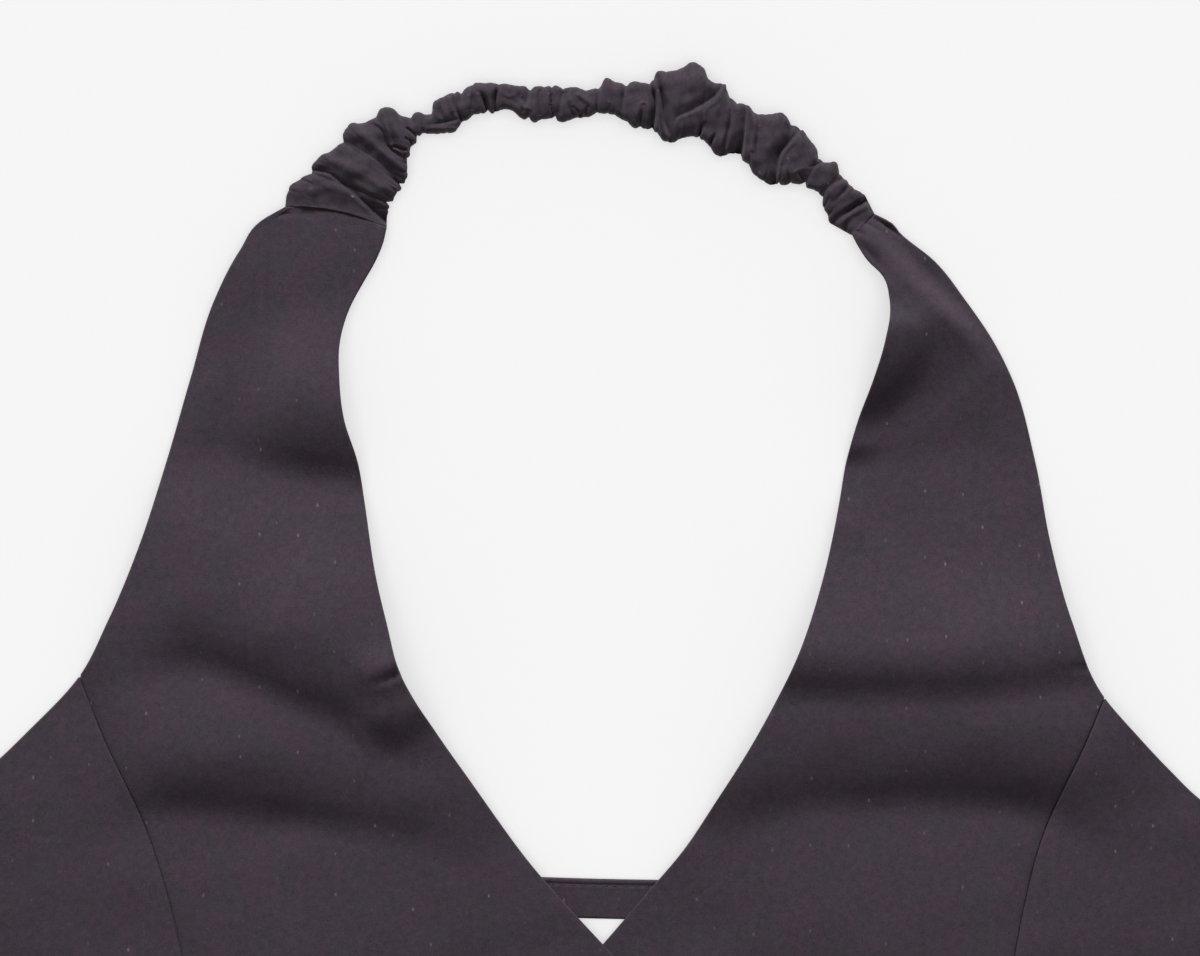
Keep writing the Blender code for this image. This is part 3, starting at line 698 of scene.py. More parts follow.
def panel_grid(panel):
    """x, y and the distance to the nearest edge at every point of a front piece."""
    rows, columns = panel["grid"]
    ends = np.array(panel["rows"], float)[[0, -1], 1]
    length = float(ends[0] - ends[1])
    at = spaced(length, FREE_ROLL, rows) / length
    outer_y, inner_y = row_ys(panel, at)
    outer_x, inner_x = chain_x(panel["outer"], outer_y), chain_x(panel["inner"], inner_y)
    width = np.hypot(inner_x - outer_x, inner_y - outer_y)
    share = np.stack([spaced(w, min(FREE_ROLL, NARROW_ROLL * w), columns) / w for w in width])
    x = outer_x[:, None] + (inner_x - outer_x)[:, None] * share
    y = outer_y[:, None] + (inner_y - outer_y)[:, None] * share
    bowed = panel.get("bow", 0.0) * np.exp(-(at * length / BOW_REACH) ** 2)
    y = y + bowed[:, None] * 4.0 * share * (1.0 - share)
    across = np.minimum(share, 1.0 - share) * width[:, None]
    along = np.minimum(at, 1.0 - at)[:, None] * length
    return x, y, np.minimum(across, along)


def front_shell(name, base):
    """The skin of a front piece. base gives the height of its underside."""
    x, y, inside = panel_grid(PANELS[name])
    sewn = WALL / 2 - rounded_half(from_seam(x, y), SEWN_ROLL, WALL / 2)
    middle = base(x, y) + WALL / 2 - sewn
    half = rounded_half(inside, FREE_ROLL, WALL / 2)
    hem_top = HEM_Y + HEM_DEPTH
    turned_up = HEM_STEP * smooth_step(y, hem_top + HEM_STEP_HALF, hem_top - HEM_STEP_HALF)
    return shell_mesh(name + "_shell", x, y, middle, half, relief=turned_up * half / (WALL / 2))


def lapped_height(x, y):
    """The right front's underside, which climbs over the left front near the centre."""
    return cloth_height(x, y) + overlap_lift(x)


shells = {}
for name in PANELS:
    base = lapped_height if name == "front_right" else cloth_height
    shells[name] = add_piece(name + "_shell", front_shell(name, base), SUITING, "suiting", name)
    print(name, "cloth:", round(plan_area(shells[name].data) * 1e4, 1), "square cm")

# %% [markdown]
# ## The back panel
# The back is one low piece cut on the fold. It lies flat on the table and only its edges show, from
# the sides, so it needs little more than its outline and turned edges.

# %% Back panel
BACK_CENTRE_Y = -104.0
BACK_SIDE_RISE = 40.0
BACK_HEM_RISE = 6.0
BACK_GRID = (60, 160)


def back_panel_mesh():
    """The skin of the back panel, between its curved top, the hem and the side seams."""
    length = BACK_CENTRE_Y - HEM_Y
    down = (spaced(length, FREE_ROLL, BACK_GRID[0]) / length)[:, None]
    width = 2.0 * STRAP_HALF_LENGTH
    across = (spaced(width, FREE_ROLL, BACK_GRID[1]) / width * 2.0 - 1.0)[None, :]
    top = BACK_CENTRE_Y + BACK_SIDE_RISE * across ** 2
    y = top + (HEM_Y + BACK_HEM_RISE * across ** 2 - top) * down
    half_width = np.where(across > 0, edge_x(SIDE_LEFT, y), edge_x(SIDE_RIGHT, y))
    from_side = (1.0 - np.abs(across)) * np.abs(half_width)
    inside = np.minimum(np.minimum(down, 1.0 - down) * length, from_side)
    half = rounded_half(inside, FREE_ROLL, WALL / 2)
    return shell_mesh("back_panel_shell", np.abs(across) * half_width, y, WALL / 2, half)


back_panel = add_piece("back_panel_shell", back_panel_mesh(), SUITING, "suiting", "back_panel")

# %% [markdown]
# ## The back strap
# A band folded lengthwise and closed by one row of stitches near its upper edge. The stitches pull
# the cloth down, which leaves a small rounded lip above them.

# %% Back strap
LIP = 1.9             # from the upper edge to the stitches
GROOVE_HALF = 0.55
GROOVE_DEPTH = 0.34
BODY_DROP = 0.12      # the band lies a little lower than its lip
BODY_DROP_WIDTH = 1.5
STRAP_GRID = (320, 44)
STITCH_PITCH = 3.3
STITCH_LENGTH = 2.4
STITCH_RADIUS = 0.17
STITCH_POINTS = 7
STITCH_BELOW_LIP = 0.25
STITCH_LIFT = 0.10      # how far a stitch stands above the groove at its middle
STITCH_ARCH = 1.1
STITCHES_END = 4.0      # how far from the strap's ends the stitches stop


def strap_place(x, down):
    """A point of the back strap: x along its upper edge, and the distance down from it."""
    slope = STRAP_TILT + 2.0 * STRAP_SAG * x
    length = np.hypot(1.0, slope)
    return x + slope / length * down, strap_top(x) - down / length


def strap_relief(down):
    """How far the stitches and the fold change the height of the upper side."""
    groove = -GROOVE_DEPTH * np.exp(-((down - LIP) / GROOVE_HALF) ** 2)
    return groove - BODY_DROP * smooth_step(down, LIP, LIP + BODY_DROP_WIDTH)


def back_strap_mesh():
    """The skin of the back strap, with its groove and lip on the upper side."""
    half_wall = STRAP_WALL / 2
    along = spaced(2.0 * STRAP_HALF_LENGTH, FREE_ROLL, STRAP_GRID[0]) - STRAP_HALF_LENGTH
    down = spaced(STRAP_WIDTH, half_wall, STRAP_GRID[1])
    along, down = np.broadcast_arrays(along[:, None], down[None, :])
    inside = np.minimum(np.minimum(down, STRAP_WIDTH - down), STRAP_HALF_LENGTH - np.abs(along))
    half = rounded_half(inside, half_wall, half_wall)
    relief = strap_relief(down) * np.clip(inside / half_wall, 0.0, 1.0)
    grain = np.stack([along, down], axis=-1)
    return shell_mesh("back_strap_shell", *strap_place(along, down), half_wall, half, grain, relief)


back_strap = add_piece("back_strap_shell", back_strap_mesh(), SUITING, "suiting", "back_strap")


# %% Thread
THREAD_SIDES = 8
THREAD_TIP = 0.45       # the tips' thickness as a share of the thread's
THREAD_DARK = (0.012, 0.009, 0.012, 1.0)
THREAD_PALE = (0.020, 0.015, 0.020, 1.0)
THREAD_TWIST = (4000.0, 4000.0, 4000.0)     # cells to the metre
THREAD_RELIEF = 0.00005                     # metres
OBJECT_PLACE = 3        # the output of a Texture Coordinate node that gives an object's own metres


def thread_mesh(name, paths, radius):
    """Short lengths of thread as capped tubes along lists of points in mm."""
    verts, faces = [], []
    sides = THREAD_SIDES
    turns = np.linspace(0.0, 2.0 * math.pi, sides, endpoint=False)
    for path in paths:
        ahead = np.gradient(path, axis=0)
        ahead /= np.linalg.norm(ahead, axis=1)[:, None]
        side = np.cross(ahead, (0.0, 0.0, 1.0))
        side /= np.linalg.norm(side, axis=1)[:, None]
        up = np.cross(side, ahead)
        start = len(verts)
        for n, point in enumerate(path):
            thick = radius * (THREAD_TIP if n in (0, len(path) - 1) else 1.0)
            around = np.cos(turns)[:, None] * side[n] + np.sin(turns)[:, None] * up[n]
            verts.extend(((point + thick * around) * MM).tolist())
        for n in range(len(path) - 1):
            for i in range(sides):
                j = (i + 1) % sides
                a, b = start + n * sides, start + (n + 1) * sides
                faces.append((a + i, a + j, b + j, b + i))
        faces.append(tuple(start + i for i in reversed(range(sides))))
        last = start + (len(path) - 1) * sides
        faces.append(tuple(last + i for i in range(sides)))
    mesh = bpy.data.meshes.new(name)
    mesh.from_pydata(verts, [], faces)
    mesh.shade_smooth()
    return mesh


def thread_finish():
    """Polyester thread: dark, with a fine uneven twist and a low gloss."""
    finish = Finish("thread", Roughness=0.5, IOR=1.5, Sheen_Weight=0.1)
    place = finish.node("ShaderNodeTexCoord", output=OBJECT_PLACE)
    twist = finish.noise(finish.scaled(place, THREAD_TWIST), detail=1.0)
    finish.feed(finish.shader, {
        "Base Color": finish.mix(THREAD_DARK, THREAD_PALE, twist),
        "Normal": finish.bump(twist, 0.4, THREAD_RELIEF),
    })
    return finish.material


def stitch_path(x):
    """One stitch on the back strap, sunk at both ends."""
    along = np.linspace(-0.5, 0.5, STITCH_POINTS)
    px, py = strap_place(x + along * STITCH_LENGTH, np.full(STITCH_POINTS, LIP + STITCH_BELOW_LIP))
    top = STRAP_WALL + strap_relief(LIP)
    return np.stack([px, py, top + STITCH_LIFT - STITCH_ARCH * along ** 2], axis=-1)


THREAD = thread_finish()
stitched_half = STRAP_HALF_LENGTH - STITCHES_END
stitch_xs = np.arange(-stitched_half, stitched_half, STITCH_PITCH)
strap_stitches = add_piece(
    "back_strap_stitches",
    thread_mesh("back_strap_stitches", [stitch_path(x) for x in stitch_xs], STITCH_RADIUS),
    THREAD,
    "suiting",
)
print(len(stitch_xs), "stitches along the back strap")

# %% [markdown]
# ## The neck strap
# A casing gathered on elastic: the cloth is half as long again as the elastic, so it stands in
# pleats that are broad at the cuffs and short along the twisted middle. Each pleat has a crest from
# the outer to the inner edge and a valley after it. A cloth simulation of a tight gather seldom
# settles; rings lofted through a table of crests give every pleat its own place and size.

# %% Pleats of the neck strap
Pleat = namedtuple("Pleat", "outer_x outer_y inner_x inner_y height valley")
PLEATS = [Pleat(*row) for row in (
    # three slanting lobes and a knob on the broad cuff
    (-98.2, 187.8, -66.6, 180.6, 4.9, 0.2),
    (-96.9, 191.2, -66.5, 182.6, 5.4, 0.2),
    (-93.6, 193.4, -66.2, 184.4, 6.0, 2.2),
    (-90.1, 197.6, -64.9, 186.4, 6.6, 0.2),
    (-87.4, 200.4, -64.2, 188.2, 7.0, 0.4),
    (-82.8, 203.0, -62.4, 189.8, 6.8, 1.6),
    (-80.5, 207.6, -61.2, 191.8, 7.2, 0.2),
    (-78.0, 210.4, -60.4, 194.2, 7.8, 0.4),
    (-73.4, 210.8, -60.5, 197.2, 7.4, 1.2),
    (-68.6, 215.0, -59.8, 200.2, 8.6, 0.2),
    (-65.2, 215.0, -59.6, 202.4, 8.0, 0.4),
    (-61.8, 212.5, -58.0, 204.0, 6.6, 1.0),
    # the narrow rope, in short lumps
    (-57.6, 213.9, -56.6, 206.6, 6.0, 0.5),
    (-53.4, 213.4, -53.8, 207.0, 6.2, 0.2),
    (-52.2, 217.2, -51.0, 207.0, 7.0, 0.3),
    (-46.5, 220.0, -46.0, 207.6, 7.8, 1.6),
    (-41.6, 221.8, -41.6, 211.6, 7.6, 0.5),
    (-39.2, 222.9, -38.4, 213.2, 8.0, 0.3),
    (-34.6, 222.9, -34.4, 213.0, 7.8, 0.5),
    (-30.1, 222.6, -29.4, 214.6, 7.4, 0.3),
    (-24.6, 221.9, -25.0, 211.6, 7.2, 1.8),
    (-20.4, 221.9, -21.2, 210.5, 8.0, 0.6),
    (-15.2, 222.1, -17.0, 211.6, 8.2, 1.2),
    (-8.9, 221.6, -12.7, 210.6, 7.8, 1.0),
    (-1.9, 221.3, -5.0, 212.1, 7.6, 0.6),
    (1.0, 224.4, 0.6, 213.2, 8.6, 0.5),
    (5.4, 222.8, 5.9, 211.4, 8.4, 0.9),
    (9.6, 223.3, 9.4, 208.9, 8.6, 0.3),
    (14.4, 223.2, 14.8, 207.9, 8.8, 1.4),
    # the broad lobes behind the wearer's left shoulder, between deep valleys
    (16.9, 226.4, 18.6, 204.9, 8.8, 0.3),
    (22.4, 226.7, 21.6, 204.2, 9.4, 0.5),
    (27.6, 229.3, 25.6, 205.8, 9.6, 0.3),
    (31.2, 227.4, 28.9, 205.9, 9.2, 0.8),
    (33.6, 223.3, 30.4, 205.2, 8.8, 0.2),
    (37.6, 222.9, 32.2, 204.0, 8.8, 0.4),
    (39.3, 219.2, 35.4, 200.2, 8.4, 1.4),
    (44.4, 216.3, 43.0, 198.7, 8.6, 1.2),
    (49.6, 213.3, 46.8, 194.4, 8.8, 0.4),
    (55.6, 213.5, 52.4, 190.3, 8.8, 2.2),
    (61.4, 208.8, 55.8, 191.0, 8.4, 0.4),
    (65.9, 203.0, 60.6, 191.4, 7.8, 1.6),
    # down to the narrow end on the left front
    (68.6, 198.6, 63.4, 190.2, 7.2, 0.3),
    (72.3, 198.2, 66.6, 188.6, 7.0, 1.4),
    (75.6, 192.6, 68.2, 184.4, 6.2, 0.6),
    (81.2, 188.2, 70.2, 179.4, 5.2, 1.0),
)]
STRAP_SEAM_RIGHT = (-98.5, 184.5, -67.0, 178.0)
STRAP_SEAM_LEFT = (84.0, 182.4, 77.0, 175.8)
STRAP_END_HEIGHT = 2.6
print(len(PLEATS), "pleats")

# %% [markdown]
# ## Creases of the neck strap
# The pleats give the outline; what the eye reads is the creases between them. Each is a sharp
# trough that fades out to both sides, by unlike amounts, because the cloth on one side rolls over
# the other. Some end in mid-width, some fork. Each is given by a few places, and
# a second table gives the thin standing rims beside them.

# %% Creases, listed one by one
CUFF_CREASES = (
    Crease(((-91, 196), (-85.5, 195), (-79, 190.5)), (1.1, 1.2, 0.8), 1.8, 1.0),
    Crease(((-85, 194.5), (-77.5, 189), (-67.5, 180)), (0.2, 1.7, 2.0), 3.6, 1.3),
    Crease(
        ((-81, 205.5), (-75, 202), (-68.5, 197.5), (-63, 191.5)), (0.6, 0.9, 1.5, 1.3), 4.8, 1.8,
    ),
    Crease(((-73, 211), (-68.5, 208), (-66.5, 203), (-61, 199)), (0.2, 1.2, 1.6, 0.8), 1.0, 3.0),
    Crease(((-64.5, 203), (-61, 202)), (1.3, 1.1), 0.8, 1.1),
    Crease(((-60.5, 208.5), (-57, 205.5)), (1.1, 1.3), 0.9, 0.9),
    Crease(((-61, 205.5), (-58, 203.5)), (0.9, 0.9), 0.7, 0.7),
    Crease(((-65, 196.5), (-60.5, 195)), (0.4, 1.0), 0.8, 0.9),
    Crease(((-66, 192), (-62.5, 190)), (0.3, 0.9), 0.8, 0.8),
    Crease(((-60, 213), (-58.5, 209)), (1.1, 0.0), 1.2, 1.5),
    Crease(((-53, 214.5), (-54, 211)), (1.1, 0.0), 1.5, 0.9),
)
ROPE_CREASES = (
    # where the rope leaves the cuff: a roll below, two slanting ones above
    Crease(((-56, 209.8), (-50, 210.2), (-44.5, 211.5)), (0.0, 1.0, 0.9), 2.6, 1.2),
    Crease(((-51, 217.5), (-50.5, 214), (-49.5, 211)), (0.4, 1.3, 0.4), 1.1, 1.4),
    Crease(((-46, 220.5), (-45.5, 215), (-44, 211.5)), (1.8, 2.4, 1.8), 0.9, 1.4),
    Crease(((-43.8, 220.5), (-43.2, 216.5)), (1.8, 0.4), 1.0, 1.1),
    Crease(((-40.5, 221), (-40.5, 214.5)), (0.0, 1.4), 1.6, 1.6),
    # two black wedges and the crossed folds after them
    Crease(((-38.3, 221), (-36.8, 217), (-35.6, 213)), (0.0, 2.8, 3.6), 2.0, 1.2),
    Crease(((-32.3, 222), (-33.2, 218.5), (-33.4, 214)), (0.4, 3.0, 3.2), 1.1, 1.4),
    Crease(((-30.5, 218), (-26.5, 216.5)), (0.2, 0.2), 1.1, 1.5),
    Crease(((-28, 221), (-25, 217.5)), (0.2, 0.4), 1.3, 1.4),
    Crease(((-22.8, 220.5), (-23.3, 217.5), (-25, 214)), (2.6, 1.4, 0.3), 1.1, 1.6),
    Crease(((-19.5, 220), (-19.5, 213)), (1.2, 1.5), 2.0, 1.8),
    Crease(((-15.8, 222.5), (-15.9, 216), (-15.2, 211)), (2.2, 2.8, 1.8), 0.9, 1.0),
    Crease(((-12.5, 219.5), (-13.5, 213.5)), (1.1, 0.6), 1.4, 1.2),
    Crease(((-10.8, 220.8), (-11.3, 217.5), (-9.5, 213)), (1.5, 0.9, 1.0), 1.3, 1.2),
    Crease(((-9, 215), (-6, 212)), (0.6, 1.2), 1.0, 1.0),
    Crease(((-4.5, 216.5), (-5.5, 212.5)), (0.4, 1.2), 1.0, 1.0),
    Crease(((-1, 222.3), (-1.6, 217.5), (-2, 213)), (1.7, 1.3, 1.4), 1.2, 1.4),
    Crease(((2.8, 218), (1.4, 213)), (0.0, 0.9), 0.8, 0.8),
    Crease(((7.2, 222.6), (6.6, 218.5), (5.5, 212.5)), (1.8, 1.5, 0.8), 1.4, 1.6),
    Crease(((12.8, 216), (11.7, 212), (11.5, 208)), (0.0, 1.5, 2.2), 1.1, 1.3),
)
LOBE_CREASES = (
    # two deep narrow ones, then the soft foot of the largest lobe
    Crease(
        ((14.3, 223.5), (16, 217.5), (16, 212.5), (15.2, 207.5)), (2.0, 4.4, 5.2, 3.4), 1.2, 1.9,
    ),
    Crease(((17, 224.5), (18.4, 217), (19.3, 210.5), (21, 205)), (0.9, 4.6, 4.4, 1.2), 1.7, 1.1),
    Crease(
        ((37.3, 222.8), (34.5, 218.5), (28, 214.3), (22.5, 211.5), (22, 206)),
        (1.8, 2.0, 1.4, 1.1, 0.3), 1.0, 3.4,
    ),
    Crease(((25.3, 209.5), (24.5, 206)), (0.0, 1.5), 1.0, 1.0),
    Crease(((31.3, 211), (30, 207)), (0.0, 2.2), 1.1, 1.1),
    Crease(((35.5, 208), (33.5, 204.5)), (0.0, 1.9), 1.1, 1.1),
    # the broad dark fold with its crisp far side
    Crease(((44.4, 216.5), (44, 211.5), (43.4, 205), (42.6, 199)), (0.9, 3.0, 4.6, 5.4), 0.9, 5.6),
    Crease(((39.4, 219.5), (39.6, 212), (37, 201)), (2.2, 1.9, 1.8), 2.4, 1.2),
    Crease(((48, 214.5), (48.2, 208), (47.6, 202), (48.5, 195.5)), (1.4, 1.8, 1.6, 1.2), 3.2, 1.4),
    Crease(((61.3, 208.8), (57.5, 204), (54.5, 200), (53.2, 190)), (1.8, 2.6, 3.2, 3.0), 1.0, 4.4),
    Crease(((56.5, 197), (58, 191)), (0.0, 1.5), 0.9, 0.9),
    Crease(((60, 196), (61.5, 193)), (0.0, 1.1), 0.8, 0.8),
    Crease(((61.5, 195.5), (62.3, 192)), (0.0, 2.0), 1.2, 1.2),
)
END_CREASES = (
    Crease(((69.5, 199), (65, 197), (61, 196.5)), (1.1, 0.7, 0.0), 0.9, 1.8),
    Crease(((74.5, 193.5), (70.5, 191), (67, 188.5)), (1.2, 0.6, 0.8), 1.4, 1.8),
    Crease(((68.5, 191.5), (67.5, 188)), (0.0, 1.1), 0.8, 0.8),
    Crease(((77, 192.5), (74.5, 189), (71.5, 186)), (0.8, 0.9, 0.2), 1.2, 1.2),
    Crease(((82.2, 186.6), (78, 184.2), (74, 181.5), (70, 178)), (2.6, 2.6, 1.4, 1.0), 0.8, 2.0),
    Crease(((76, 181.5), (75, 176.5)), (0.0, 1.2), 0.8, 0.8),
    Crease(((73.8, 180), (72.6, 176.8)), (0.2, 1.2), 0.8, 0.8),
)
CREASES = CUFF_CREASES + ROPE_CREASES + LOBE_CREASES + END_CREASES

# Thin standing folds, as places and heights, and how far each slopes off to either side
RIMS = (
    Crease(((-87, 200), (-76, 195.5), (-65, 189)), (0.3, 0.4, 0.2), 2.8, 2.8),
    Crease(((-78.5, 208.5), (-72, 204), (-62.5, 197)), (0.3, 0.4, 0.2), 2.6, 2.6),
    Crease(((-68.5, 213), (-66.5, 207.5), (-65.5, 203.5)), (0.2, 0.4, 0.3), 0.9, 0.8),
    Crease(((-53.5, 208.5), (-46, 208.5)), (0.2, 0.3), 1.1, 1.1),
    Crease(((-47.5, 218), (-46.5, 214)), (0.5, 0.5), 0.8, 1.1),
    Crease(((-41.5, 218.5), (-41, 214)), (0.5, 0.5), 1.0, 1.0),
    Crease(((-38.5, 219), (-38, 215)), (0.5, 0.5), 0.7, 0.9),
    Crease(((-31, 219.5), (-28.5, 218.5), (-25, 221)), (0.1, 0.2, 0.1), 1.0, 1.1),
    Crease(((-25.5, 218.5), (-25, 215.5), (-22.5, 214.5)), (0.2, 0.3, 0.2), 0.9, 0.9),
    Crease(((-7.5, 219), (-4.5, 216.5)), (0.5, 0.4), 1.3, 1.3),
    Crease(((2, 216.5), (2, 213.5)), (0.5, 0.5), 0.7, 0.8),
    Crease(((10.5, 212), (11.5, 216), (13.5, 216), (14, 211)), (0.2, 0.3, 0.3, 0.2), 0.8, 0.8),
    Crease(((17, 220), (17.5, 212), (18, 207)), (0.6, 0.8, 0.6), 0.6, 0.6),
    Crease(((38, 222), (35.5, 217.5), (32, 214.5), (31.5, 211)), (0.2, 0.25, 0.25, 0.2), 1.2, 1.2),
    Crease(((45.5, 215), (46.5, 208.5), (46, 202)), (0.7, 0.7, 0.5), 1.2, 1.0),
    Crease(((60.5, 205.5), (57, 202.5), (55.5, 198)), (0.15, 0.25, 0.2), 1.2, 1.2),
    Crease(((66.5, 198), (58, 194.5)), (0.15, 0.2), 1.1, 1.1),
    Crease(((81.5, 184.5), (76, 181.5), (73, 178.5)), (0.5, 0.6, 0.5), 1.1, 0.9),
)
print(len(CREASES), "creases and", len(RIMS), "rims")

# %% Depth of the creases
CREASE_UNION = 3.0      # where two creases meet, the deeper one leads
RIM_GAIN = 1.5
CRUMPLE_SCALE = 4.6     # the strap's own unevenness is this much finer than the fronts'
CRUMPLE_GAIN = 4.2      # and this much steeper


def crease_depth(x, y):
    """How deep all creases cut at each point of the strap."""
    total = sum(crease_profile(crease, x, y) ** CREASE_UNION for crease in CREASES)
    return total ** (1.0 / CREASE_UNION)


def strap_relief_height(x, y):
    """The rims, less the creases, with the faint crumple of gathered cloth."""
    rims = sum(crease_profile(rim, x, y, cusp=False) for rim in RIMS)
    crumple = faint_waves(x * CRUMPLE_SCALE, y * CRUMPLE_SCALE) * CRUMPLE_GAIN / CRUMPLE_SCALE
    return rims * RIM_GAIN - crease_depth(x, y) + crumple


# %% [markdown]
# ## The casing round the elastic
# Rings are lofted along the strap. Each is nearly flat on top, because the strap lies pressed on
# the table, and turns over near its two edges. A crease that reaches an edge draws the outline in
# there. Small gathers crowd the inner edge, where the elastic is shortest: their places are drawn
# from a seeded list. The hollow for the elastic is lower than the gathered mass over it.

# %% Rings of the neck strap
PLEAT_DRAW = 0.8        # how much of a pleat's dip draws the outline in
PLEAT_DIP = 0.3         # and how much of it shows on top
CREASE_DRAW = 0.35      # how much a crease draws the outline in
END_PRESS = 0.3         # how far the strap's ends reach into the fronts
END_RINGS = 14
END_ROLL = 0.3          # share of the end's length in which it rises from the seam
END_BULGE = 0.1         # and how far it leans back over the seam
END_SHRINK = 0.4        # the hollow at the sewn end, as a share of the outside's height
RING_SPACING = 0.33     # along the outside
HOLLOW_SPACING = 1.32   # and along the hollow
PLEAT_STEPS = 20        # steps to a pleat in which the strap's run is measured
TOP_POINTS = 76
BOTTOM_POINTS = 16
RING_EDGE = 0.05        # share of the width in which a ring's points crowd at its edges
RING_SQUARENESS = 3.2   # 2 is an ellipse; more is flatter on top
FLAT_UNDERSIDE = 1.25
CASING_WALL = 1.1
HOLLOW_SHARE = 0.5      # the hollow's height as a share of the outside's
LOWEST_SHARE = 0.3      # of the strap's height that the deepest crease leaves

Gather = namedtuple("Gather", "place lean depth half reach")
GATHER_PITCH = (1.9, 3.6)
GATHER_DEPTH = (0.25, 0.8)
GATHER_HALF = (0.5, 1.1)
GATHER_REACH = (0.25, 0.75)    # share of the strap's half width
GATHER_LEAN = 0.5
INNER_SEED, OUTER_SEED = 23, 29
OUTER_GATHERS = 0.6     # the outer edge's gathers are this much shallower
TOP_SHARE = 0.6         # of the way up a ring, where creases reach their full depth


def ring_places():
    """Places round the strap as (side, up): side is 1 at the outer edge and -1 at the inner."""
    over = 1.0 - 2.0 * spaced(1.0, RING_EDGE, TOP_POINTS)
    under = np.linspace(-1.0, 1.0, BOTTOM_POINTS + 2)[1:-1]
    side = np.concatenate([over, under])
    up = (1.0 - np.abs(side) ** RING_SQUARENESS) ** (1.0 / RING_SQUARENESS)
    up[len(over):] = np.maximum(-FLAT_UNDERSIDE * up[len(over):], -1.0)
    return side, up


def strap_edges(at):
    """The outer and inner edge, the height and the dip of the strap at places along it."""
    knots = np.arange(len(PLEATS), dtype=float)
    table = np.array(PLEATS)
    columns = [curve(knots, table[:, column], at) for column in range(5)]
    number = np.minimum(at.astype(int), len(PLEATS) - 2)
    dip = table[number, 5] * (1.0 - np.abs(np.cos(math.pi * (at - number))))
    return np.stack(columns[0:2], axis=1), np.stack(columns[2:4], axis=1), columns[4], dip


def strap_stations(spacing):
    """Places along the strap, evenly spaced in mm along the longer of its two edges."""
    fine = np.linspace(0.0, len(PLEATS) - 1.0, PLEAT_STEPS * len(PLEATS))
    outer, inner, _, _ = strap_edges(fine)
    run = running(np.maximum(step_lengths(outer), step_lengths(inner)))
    return np.interp(np.linspace(0.0, run[-1], int(run[-1] / spacing)), run, fine)


def edge_gathers(length, seed):
    """Seeded small gathers along one edge of the strap."""
    draw = np.random.default_rng(seed)
    gathers, place = [], 0.0
    while place < length:
        place += draw.uniform(*GATHER_PITCH)
        gathers.append(Gather(
            place, draw.uniform(-GATHER_LEAN, GATHER_LEAN), draw.uniform(*GATHER_DEPTH),
            draw.uniform(*GATHER_HALF), draw.uniform(*GATHER_REACH),
        ))
    return gathers


def gather_depth(edge, half, side, seed):
    """The small gathers at one edge; side is 1 at that edge and -1 at the other."""
    run = running(step_lengths(edge))
    from_edge = (1.0 - side)[None, :] * half[:, None]
    total = np.zeros_like(from_edge)
    for gather in edge_gathers(run[-1], seed):
        beside = run[:, None] + gather.lean * from_edge - gather.place
        inside = np.clip(1.0 - np.abs(beside) / gather.half, 0.0, 1.0)
        fade = np.clip(1.0 - from_edge / (gather.reach * half[:, None]), 0.0, 1.0)
        total = np.maximum(total, gather.depth * inside ** CREASE_CUSP * fade)
    return total


def strap_rings(spacing, side, up, wall=0.0):
    """Rings of the neck strap as (rings, points, xyz); wall moves them inwards."""
    outer, inner, heights, dip = strap_edges(strap_stations(spacing))
    middle = (outer + inner) / 2.0
    half = np.linalg.norm(outer - inner, axis=1) / 2.0
    across = (outer - inner) / (2.0 * half)[:, None]
    drawn_in = np.stack([crease_depth(*edge.T) for edge in (outer, inner)], axis=1) * CREASE_DRAW
    drawn_in = np.where(side > 0.0, drawn_in[:, :1], drawn_in[:, 1:]) + PLEAT_DRAW * dip[:, None]
    gathers = gather_depth(inner, half, -side, INNER_SEED)
    gathers = gathers + OUTER_GATHERS * gather_depth(outer, half, side, OUTER_SEED)
    reach = half[:, None] - wall - drawn_in - CREASE_DRAW * gathers
    xy = middle[:, None, :] + across[:, None, :] * (reach * side)[..., None]
    top = (heights - PLEAT_DIP * dip)[:, None] * (HOLLOW_SHARE if wall else 1.0)
    z = wall + (top - 2.0 * wall) / 2.0 * (1.0 + up)
    if not wall:
        z = z - smooth_step(up, 0.0, TOP_SHARE) * np.minimum(gathers, (1.0 - LOWEST_SHARE) * top)
    return np.concatenate([xy, z[..., None]], axis=-1)


def seam_ring(seam, bow, towards, side, up, wall):
    """The strap's end, as high as the front that it is sewn to and pressed a little into it."""
    outer, inner = np.array(seam[:2]), np.array(seam[2:])
    line = (outer - inner) / np.linalg.norm(outer - inner)
    normal = np.array((-line[1], line[0]))
    normal *= math.copysign(1.0, float(np.dot(normal, towards - (outer + inner) / 2.0)))
    half = np.linalg.norm(outer - inner) / 2.0 - wall
    xy = (outer + inner) / 2.0 + line * (half * side)[:, None]
    xy = xy + normal * (bow * (1.0 - side ** 2) - END_PRESS)[:, None]
    top = cloth_height(*xy.T) + WALL
    bottom = np.maximum(top - STRAP_END_HEIGHT, 0.0)
    rise = (top - bottom) / 2.0 * (END_SHRINK if wall else 1.0)
    return np.concatenate([xy, ((top + bottom) / 2.0 + rise * up)[:, None]], axis=-1)


def end_rings(seam, first, up):
    """Rings from the seam to the first full ring, which rise at once and bulge over the seam."""
    rings = []
    for share in np.linspace(0.0, 1.0, END_RINGS + 1)[:-1]:
        rolled = min(share / END_ROLL, 1.0)
        risen = math.sqrt(1.0 - (1.0 - rolled) ** 2)
        back = END_BULGE * math.exp(-(share / END_ROLL - 1.0) ** 2) * rolled
        ring = seam + (first - seam) * (share - back * np.maximum(up, 0.0))[:, None]
        ring[:, 2] = seam[:, 2] + (first[:, 2] - seam[:, 2]) * risen
        rings.append(ring)
    return np.stack(rings)


